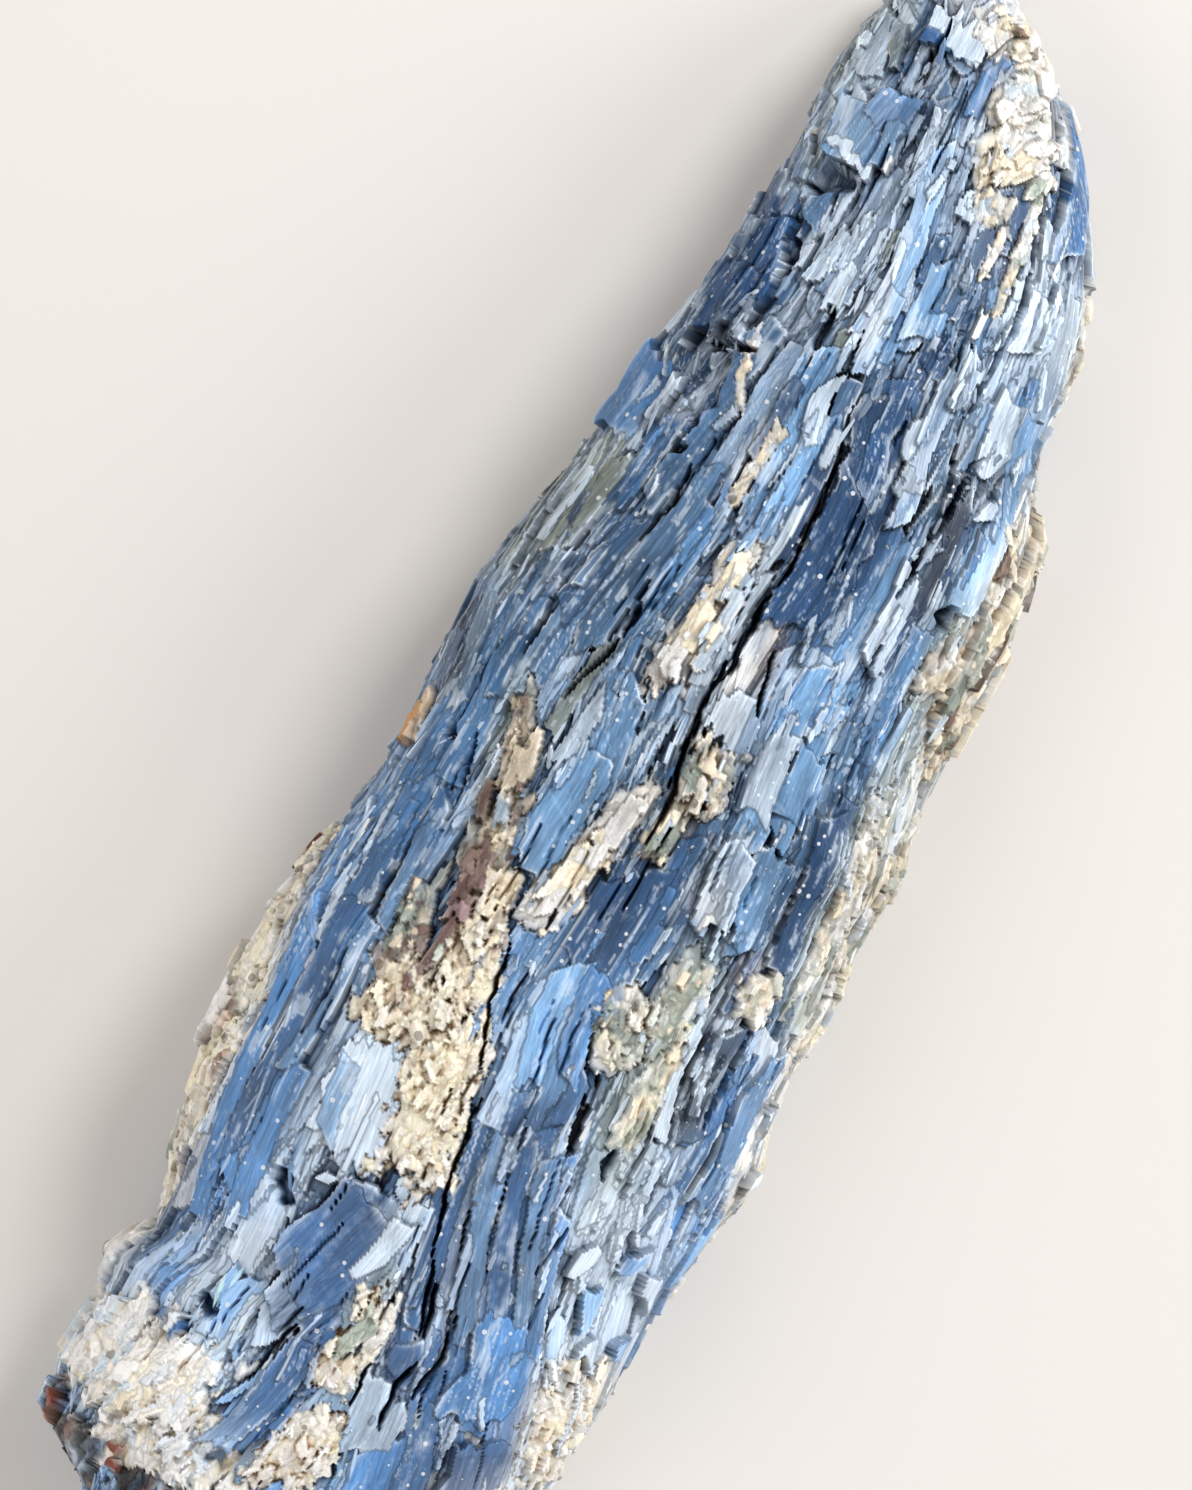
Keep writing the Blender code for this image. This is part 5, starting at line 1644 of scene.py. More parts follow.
@dataclass
class Studio:
    """Floor, lights and the camera that looks straight down, in metres."""

    aim: tuple[float, float, float] = (-0.00463, 0.00404, 0.022)
    roll_degrees: float = 23.0
    distance: float = 0.70
    frame_height: float = 0.149
    sensor: float = 24.0
    floor_colour: tuple[float, float, float] = (0.80, 0.775, 0.745)
    floor_size: float = 1.6
    floor_drop: float = 0.0002
    lamp_aim: tuple[float, float, float] = (0.0, 0.0, 0.01)
    sky_colour: tuple[float, float, float] = (1.0, 0.955, 0.925)
    sky_strength: float = 0.44
    lamps: tuple[Lamp, ...] = (
        Lamp("key", (0.52, 0.42, 0.64), 0.36, 4.4, (0.99, 0.99, 0.99)),
        Lamp("low", (0.86, 0.10, 0.42), 0.50, 4.2, (0.985, 0.99, 1.0)),
        Lamp("fill", (-0.62, -0.20, 0.60), 0.80, 2.6, (1.0, 0.97, 0.94)),
    )

    def floor(self) -> None:
        """Adds the floor."""
        mesh = bpy.data.meshes.new("floor")
        bm = bmesh.new()
        bmesh.ops.create_grid(bm, x_segments=1, y_segments=1, size=self.floor_size)
        bm.to_mesh(mesh)
        bm.free()
        obj = linked("floor", mesh)
        obj.location.z = -self.floor_drop
        material, graph, shader = new_material("floor_card")
        place = graph.add("ShaderNodeTexCoord").outputs["Object"]
        shade = graph.ramp(graph.noise(place, 6.0, 2.0), 0.3, 0.7, 0.985, 1.0)
        graph.join(graph.tinted((*self.floor_colour, 1.0), shade), shader.inputs["Base Color"])
        graph.join(0.9, shader.inputs["Roughness"])
        mesh.materials.append(material)
        obj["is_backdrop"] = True

    def light(self, lamp: Lamp) -> None:
        """Adds a lamp that faces the cluster."""
        turn = math.radians(self.roll_degrees)
        right, up, height = lamp.place
        x = right * math.cos(turn) - up * math.sin(turn)
        y = right * math.sin(turn) + up * math.cos(turn)
        data = bpy.data.lights.new(lamp.name, "AREA")
        data.shape, data.size, data.energy, data.color = "DISK", lamp.size, lamp.power, lamp.colour
        obj = linked(lamp.name, data)
        obj.location = (x, y, height)
        obj.rotation_euler = (Vector(self.lamp_aim) - obj.location).to_track_quat("-Z", "Y").to_euler()

    def build(self) -> None:
        """Adds the floor, the lights, the sky and the camera."""
        self.floor()
        for lamp in self.lamps:
            self.light(lamp)
        world = bpy.data.worlds.new("studio")
        world.use_nodes = True
        sky = world.node_tree.nodes["Background"].inputs
        sky["Color"].default_value = (*self.sky_colour, 1.0)
        sky["Strength"].default_value = self.sky_strength
        bpy.context.scene.world = world
        bpy.context.scene.view_settings.view_transform = "Standard"
        data = bpy.data.cameras.new("camera")
        data.sensor_fit, data.sensor_height = "VERTICAL", self.sensor
        data.lens = self.sensor * self.distance / self.frame_height
        camera = linked("camera", data)
        camera.location = Vector(self.aim) + Vector((0, 0, self.distance))
        camera.rotation_euler = (0.0, 0.0, math.radians(self.roll_degrees))
        bpy.context.scene.camera = camera


# head x, head y, foot x, foot y, width, lift, tilt
BLADES = (
    (4, 81.5, 1.6, 72, 3.2, 0.6, 0), (-1.2, 84, -3.4, 69, 3.6, 0.3, -5), (6.2, 87, 5, 78, 3.6, 1, 5),
    (6.6, 79, 5.4, 65, 3.4, 0.6, 4), (1.8, 72.5, 0.6, 64.6, 6.5, 1.5, 0),
    (-4, 62.5, -5.6, 51.5, 5, 0.6, -6), (-4.2, 51, -5.2, 43.8, 6, 1.4, 0), (4.2, 66, 3.2, 50, 3.4, 0.9, 3),
    (7.6, 70, 7.6, 49.5, 2.4, 1.3, -3), (9.2, 56, 8.8, 45, 1.7, 1.5, 0), (10.8, 82, 11, 47, 2.4, 0.7, 4),
    (13.2, 80, 13.4, 52, 2.4, 1, -4), (15.8, 71, 17, 53, 3, 0.6, 3), (17.4, 79, 24.6, 62, 2.6, 0.5, 10),
    (20, 78, 26.2, 62.5, 2.2, 0.3, 14), (23, 62.5, 24.2, 47.5, 5.2, 1, 6), (18.6, 66, 18.9, 46, 2, 0.5, 0),
    (14.9, 54, 14.8, 44, 3.2, 0.8, 0), (-8.4, 43.5, -11.2, 29.5, 5, 0.5, -4),
    (0.6, 49, -4.6, 27, 2.8, 1, 3), (-2.2, 40, -8.8, 12.5, 2.8, 0.7, -3), (-1, 30, -5.4, 8, 2.6, 1.1, 4),
    (2.6, 46, -0.6, 29, 2.4, 0.8, -4), (1.4, 30, -2.2, 6, 2.6, 0.7, 2),
    (-10.6, 30, -13.8, 13.5, 4.2, 0.4, -6), (6, 48, 4.4, 27, 2.6, 1, 2), (8.6, 44, 7.8, 24, 2, 1.3, -4),
    (8.2, 26, 6.4, 9, 1.7, 1.1, 3), (14.2, 47, 13.6, 18.5, 7, 0.8, 2), (10.6, 20.5, 9.8, 5, 2.2, 0.8, -3),
    (17.9, 51, 17.9, 33, 2, 1.4, -3), (18.6, 34, 17.8, 13, 2.4, 1, 3), (21.6, 42, 20.4, 18.6, 2.3, 1.6, -2),
    (25.6, 47, 26.2, 28, 2.6, 1.2, 4), (23.8, 40, 23.2, 24, 2.4, 0.4, 0),
    (23.4, 50, 23, 40.5, 4.6, 1.1, -4), (15.6, 19, 15.4, -1, 3.2, 0.9, 2),
    (27.8, 31, 27.6, 11, 2.4, 0.4, 6), (24.2, 24, 23.8, 8, 2.6, 0.8, -2), (12.6, 17, 13, 2, 1.6, 1.1, 0),
    (-15.8, 14, -16.6, -4, 3.2, 0.4, -4), (-11.6, 13, -12.4, -8, 2.8, 0.6, 3),
    (-14, -7, -15.6, -30, 2.2, 0.9, -3), (-17.2, -8, -18.8, -31, 2.4, 0.6, -5),
    (-12, -8, -13.2, -27, 1.9, 1, 3), (-2.2, 9, -3.4, -12, 2.8, 0.7, -3), (0.8, 8, -0.2, -9, 2.8, 0.9, 2),
    (3.8, 10, 3.4, -3, 2.2, 0.6, 0), (8.6, -5, 5.8, -24, 2.4, 0.4, 3), (11.6, -2, 9.8, -22, 2.6, 0.8, -3),
    (6.4, 2, 5.2, -12, 1.8, 0.9, 4), (16.2, 16, 16, -4, 2.8, 1.3, 0), (19.2, 17, 18.6, -2, 2.8, 1, 3),
    (15.8, -3, 16, -13, 3.6, 1.7, -2), (19.6, -1, 19.6, -13, 3, 1.3, 2), (23.6, 5, 23.4, -13.5, 2.8, 1, 0),
    (26.8, 10, 27, -19, 3.4, 0.4, 6), (-15.2, -28, -17.2, -55, 2.2, 0.9, -2),
    (-18.4, -30, -20, -60, 2.4, 0.7, -5), (-13, -33, -14.6, -52, 1.8, 0.6, 3),
    (-8.4, -33, -8.8, -48, 5.4, 0.9, 0), (4.4, -21, 4, -36, 2.4, 0.8, 2), (8.2, -22, 8.6, -37, 2.6, 1, -2),
    (3.4, -35, 6.6, -68, 2.4, 0.6, 3), (6, -34, 9.6, -74, 2.4, 1, -3), (9, -33, 12.4, -60, 2.6, 0.8, 2),
    (12.2, -36, 13.8, -66, 2.2, 1, -2), (16.6, -17, 17, -41, 2.6, 0.7, 2),
    (19.2, -16, 19.4, -40, 2, 0.5, -2), (21.8, -18, 21.8, -32, 3.2, 1, 0),
    (25.4, -17, 25.6, -49, 3, 0.7, 4), (28.6, -20, 28.2, -46, 2.2, 0.4, 8),
    (24.4, -50, 24.2, -61, 2.6, 0.6, 6), (-2.4, -47.5, -6.8, -64, 8, 1.9, 0),
    (0.6, -47.5, 0.2, -58, 3, 1.2, 3), (-12.6, -51, -13.4, -62, 3.4, 0.8, -2),
    (-10.4, -59, -13.4, -71, 4.2, 1.1, 2), (-2.4, -62, -8.6, -78, 3, 1.5, 0),
    (1.2, -58, 0.4, -70, 3, 0.8, 0), (4, -66, 5.6, -84, 2.8, 0.7, 2), (8.4, -60, 10.4, -86, 2.8, 0.9, -2),
    (13.2, -66, 14.8, -80, 2.6, 0.6, 2), (16.2, -56, 17.6, -76, 2.6, 0.7, -2),
    (21.2, -61, 21.4, -72, 3.2, 0.6, 4), (0, -77, -0.5, -90, 3.2, 0.6, 0),
    (-6, -79, -6.6, -90, 3.4, 0.4, 0), (12, -78, 12, -87, 3, 0.3, 0),
)

# x, y, half width, length, lean in degrees, height, tone, ragged ends
FEATURES = (
    # the head
    (4.8, 81.5, 2.7, 6, 0, 2.6, ICE, 1.4), (20, 72, 1.7, 15.5, -26, 2.8, STEEL, 0.9),
    (23.4, 70, 1.1, 13, -26, 2.5, ICE, 1.4), (9, 77.6, 0.8, 8, -4, 1.8, STEEL, 0.3),
    (3.4, 80.2, 1.5, 3, 0, 2.7, NAVY, 0.6), (5.2, 72, 1.7, 6.2, 3, 1.8, SLATE, 0.6),
    (5.8, 72.6, 1.1, 3.6, 3, 2, NAVY, 0.6), (-1.6, 77.5, 2.2, 9, 5, 1.6, GREY, 1),
    (0.2, 78, 0.7, 4, 5, 1.8, OLIVE, 0.5), (-4.8, 71.5, 0.7, 3.2, 0, 1.4, ICE, 0.6),
    (0.6, 68.2, 3.4, 7, 0, 3, SKY, 0.8), (0.4, 66, 2.4, 3.2, 0, 3.1, ICE, 0.9),
    (2.8, 66.6, 1.3, 4, 0, 3.2, WHITE, 0.9), (2.4, 71.4, 1.8, 5.4, 6, 3.3, STEEL, 0.5),
    (-1.2, 59.6, 1.2, 5, 0, 1.4, SLATE, 0.6), (-5, 58.4, 2.6, 9, 4, 1.9, NAVY, 0.9),
    (-4.2, 53.2, 3, 9, 4, 2.3, NAVY, 0.9), (2.1, 55.5, 0.9, 7.2, 15, 2.1, GREY, 0.5),
    (4, 53, 0.9, 6, 5, 1.9, ICE, 0.6), (6.2, 57.4, 1.1, 7, 3, 1.5, OLIVE, 0.5),
    (7.1, 65.5, 1, 5.2, 3, 2.2, GREY, 0.7), (11.1, 59, 0.8, 6.2, 0, 1.9, NAVY, 0.4),
    (12.8, 64.8, 1.6, 6.2, 0, 2.3, ICE, 1.4), (12.8, 55.4, 1.9, 9.6, 0, 1.9, SKY, 0.9),
    (15, 50, 1.5, 4.2, 0, 1.8, NAVY, 0.4), (16.5, 66, 1, 7.8, -3, 1.9, NAVY, 0.5),
    (17.6, 55, 0.5, 4, 0, 2.2, WHITE, 0.8), (22.4, 57, 2.3, 6.6, 0, 2.4, ICE, 0.5),
    (25, 53, 1.9, 6, 0, 1.9, STEEL, 0.6),
    # above the middle
    (-4.6, 48, 3.3, 7.6, 5, 2.9, NAVY, 0.5), (-8.4, 44.8, 1.2, 6.6, 10, 1.9, ICE, 1),
    (-3, 39.5, 0.45, 6.6, 5, 1.2, CREAM, 0.6), (-4.4, 33.1, 1.1, 1.6, 0, 1.3, ICE, 0.6),
    (-9.6, 35.6, 2.8, 10.6, 12, 2.1, STEEL, 1), (-7, 36, 0.6, 8, 10, 2.2, ICE, 1.2),
    (-10.2, 23, 1.5, 12, 14, 1.7, OLIVE, 1), (-12, 22, 0.9, 11, 14, 1.6, ICE, 1),
    (-10.8, 22.4, 0.5, 4.6, 10, 1.9, NAVY, 0.5), (3.2, 38, 0.9, 9.6, 4, 1.9, NAVY, 0.5),
    (8.5, 49.3, 0.8, 7.4, 0, 2.3, ICE, 0.9), (6, 48, 0.7, 4, 0, 1.6, OLIVE, 0.6),
    (6.3, 40.5, 1, 8, 4, 2.7, ICE, 1.2), (9, 38, 0.8, 6, 2, 2.6, ICE, 1.2),
    (7.4, 33, 1.7, 17, 4, 2.4, SKY, 1.2), (8.2, 28, 0.7, 10, 4, 2.6, ICE, 1.4),
    (13.6, 32, 3, 26, 1, 1.9, NAVY, 1), (16, 41.5, 0.8, 5, 0, 2.5, ICE, 1.2),
    (17.4, 37, 1.2, 4.4, 0, 2.5, ICE, 1.4), (23, 45.6, 1.6, 9.6, 0, 2.4, ICE, 1.2),
    (24.8, 46, 1.2, 8, 0, 2.1, SKY, 0.8), (23, 33, 1.7, 11.6, 2, 1.5, NAVY, 0.6),
    (25, 38, 0.8, 3.6, 10, 2.3, ICE, 0.8), (20.7, 24.4, 1.1, 11.2, 4, 2.8, ICE, 0.3),
    (26.4, 32, 1.3, 7.6, 0, 2, STEEL, 0.6), (24.4, 23.4, 1.3, 3.4, 0, 1.4, NAVY, 0.6),
    (6.7, 17, 1, 13.6, 8, 2.1, ICE, 0.7), (12.2, 14, 0.6, 7, 3, 1.7, BROWN, 0.5),
    # the middle
    (-17.2, 4, 2, 8, 0, 1.2, SLATE, 0.8), (-11.5, 5, 0.9, 7, 3, 2, STEEL, 0.2),
    (-4.4, 6, 0.9, 12, 12, 1.9, OLIVE, 0.6), (10, 8.8, 1.8, 6.8, 5, 2.2, ICE, 1.4),
    (15.6, 5, 1.5, 10, 0, 2.4, ICE, 1), (18.8, 5.5, 1.6, 9, 0, 2.2, SKY, 1),
    (15.4, -5, 1.3, 8, 0, 2.5, ICE, 1.4), (18.8, -6.5, 1.6, 11, 0, 2.3, SKY, 1),
    (16, -10.8, 1, 3.4, 0, 2.8, WHITE, 1.4), (23.6, -4.5, 1.35, 18, 1, 2.1, NAVY, 1.6),
    (-1.2, -6, 2.4, 15, 8, 2.1, SKY, 1), (-2.6, 2, 0.9, 9, 10, 2.3, ICE, 0.8),
    (5.4, -15, 1.3, 10, 9, 1.8, NAVY, 0.6), (8.6, -14, 1.9, 13, 8, 1.7, NAVY, 0.8),
    (11.4, -13, 0.8, 10, 6, 1.9, STEEL, 0.8), (22, -25.5, 1.9, 12, 0, 1.7, NAVY, 0.8),
    (-15.4, -16.5, 1.6, 14, 5, 1.8, STEEL, 0.8), (-12.6, -18, 0.9, 12, 4, 2, SLATE, 0.8),
    # below the middle
    (-19.6, -40, 1.1, 38, 4, 1.8, STEEL, 1), (-17, -36, 1.2, 30, 4, 1.9, NAVY, 0.8),
    (-14.6, -32, 0.9, 18, 3, 2.1, SLATE, 0.8), (-15.4, -48, 1.2, 18, 3, 2, STEEL, 0.8),
    (-8.6, -40.5, 3.6, 14, 0, 2, ICE, 1.6), (-10.6, -41, 1.2, 10, 0, 2.2, SKY, 1),
    (3.2, -48, 1.5, 23, -3, 1.8, NAVY, 0.7), (5.4, -26, 1.8, 14, 0, 2, SKY, 1),
    (8.4, -25, 1.3, 13, 0, 2.1, STEEL, 0.8), (10.4, -32.4, 1.1, 7, 4, 2, NAVY, 0.6),
    (7.2, -48, 1.2, 22, -9, 1.9, SLATE, 0.7), (9.8, -48, 1.1, 22, -10, 2, NAVY, 0.7),
    (12.6, -48, 1.2, 22, -11, 1.9, SLATE, 0.7), (14.8, -50, 0.9, 16, -10, 2.1, STEEL, 0.7),
    (12.2, -23, 1.7, 5, 10, 2.4, CREAM, 1.4), (16.2, -24, 0.8, 13, 2, 2.2, OLIVE, 0.9),
    (18.4, -26, 0.9, 14, 0, 2.1, ICE, 0.9), (26.1, -29, 1.6, 20, 0, 1.8, SLATE, 1.4),
    (26.6, -42, 1.2, 9, 4, 1.9, SKY, 1.4), (17.4, -46.6, 1, 4.6, 10, 2.3, ICE, 1.4),
    (19.4, -50.4, 1.1, 5, -12, 2.4, SKY, 1.4), (21.4, -45, 1, 4.4, 16, 2.2, STEEL, 1.2),
    (23.6, -47.6, 1.1, 5.2, 2, 2.4, ICE, 1.4), (20.8, -55.4, 1.2, 4.6, -8, 2.3, ICE, 1.4),
    (23.4, -53.4, 0.9, 4, 12, 2.2, SLATE, 1.2), (17.6, -54.6, 0.9, 4.8, -14, 2.2, SKY, 1.2),
    (25.5, -54, 1.2, 6, 4, 2, SLATE, 1.2), (-10, -48.6, 2.8, 2, 0, 2.3, ICE, 1.2),
    (-5.2, -55, 4.1, 12.5, 22, 3.2, NAVY, 0.5), (-0.6, -52.6, 1.2, 9.4, 16, 3.3, ICE, 1.4),
    # the foot
    (-3.2, -62.8, 1.4, 15, 22, 2.3, STEEL, 0.6), (-7.3, -63.6, 2, 6.6, 5, 2.1, GREY, 0.8),
    (5.2, -62.5, 1.5, 5, 0, 1.8, NAVY, 0.5), (5, -69, 2.6, 8, 0, 2, GREY, 1),
    (7, -74, 2.6, 8, -5, 1.9, STEEL, 0.9), (14, -60, 3, 13, -7, 2, STEEL, 1.2),
    (15.8, -70, 3, 7, -5, 2.1, NAVY, 0.9), (-12.4, -64.6, 2.2, 9, 15, 2, SKY, 1.2),
    (-4.6, -72.5, 1.9, 10, 20, 2, NAVY, 0.8), (-7.4, -73, 1.2, 8, 18, 1.8, SKY, 0.9),
)

# foot x, foot y, head x, head y, width, depth under the form
CREVICES = (
    (19.9, 62, 19.7, 45, 0.6, -1.2), (18, 70, 20, 62, 0.5, -1), (22.4, 43, 21.2, 33.5, 0.7, -1.4),
    (21.3, 33.5, 20.2, 26, 0.45, -1), (10, 38, 9.4, 22, 0.7, -1.4), (9.3, 22, 8.3, 10, 0.8, -1.4),
    (7.8, 14, 7.6, 3, 0.9, -1.4), (7.6, 3, 7.4, -6, 0.6, -1.2), (-2.4, 31, -4.6, 21.5, 0.45, -1),
    (-2, 16, -2.6, 12, 0.9, -1.4), (-2.6, 12, -5.5, 4, 0.6, -1.2), (3.8, 51, 4, 46, 1.8, -1.6),
    (-5, 31.2, -3.6, 32.2, 1, -1.6), (-1, -20, 1, -33, 0.6, -1.2), (2, -34, 4, -52, 0.6, -1.2),
    (4, -52, 6, -60, 0.6, -1.2), (5.4, -54, 6.4, -60, 0.7, -1.2), (13.6, -50, 14.8, -44, 0.4, -0.8),
    (23.4, -20, 23.2, -30, 0.9, -1.4), (20, -12, 19, -19, 0.4, -0.8), (-11.5, -2, -11, -10, 0.5, -1),
    (-19.8, -17, -20.8, -22, 0.7, -1.2), (11.8, 17, 12.6, 10, 0.6, -0.8), (3, 75, 3.2, 79, 1, -1.4),
    (-3, 61.6, 1.4, 63.2, 2.6, -1.2), (-1.6, 52, -1.2, 56, 2.4, -1.2), (-4.6, 34.5, -3.8, 43, 3.4, -1),
    (-5.6, 42.8, -1, 43.4, 1.2, -1.4), (25.2, 25, 25.4, 28, 1.4, -1.6), (-14.2, -4, -14, -2, 1.6, -1.4),
    (11, -0.8, 11, 0.3, 0.6, 0.6), (1.6, -17.5, 1.9, -15, 0.6, -1.2), (-24, -31, -22.6, -26, 1, -0.6),
    (16.2, -38.5, 16.4, -35, 1.2, -1.2), (-12, -53, -11.6, -49.8, 3.4, -1.6),
    (5.6, -70, 6.6, -62, 0.7, -1.2), (7.4, -66, 8.2, -56, 0.5, -1), (-15.6, -65, -13, -64.6, 3, -1.4),
    (-9, -79, -4.6, -78.6, 3.2, -1),
)

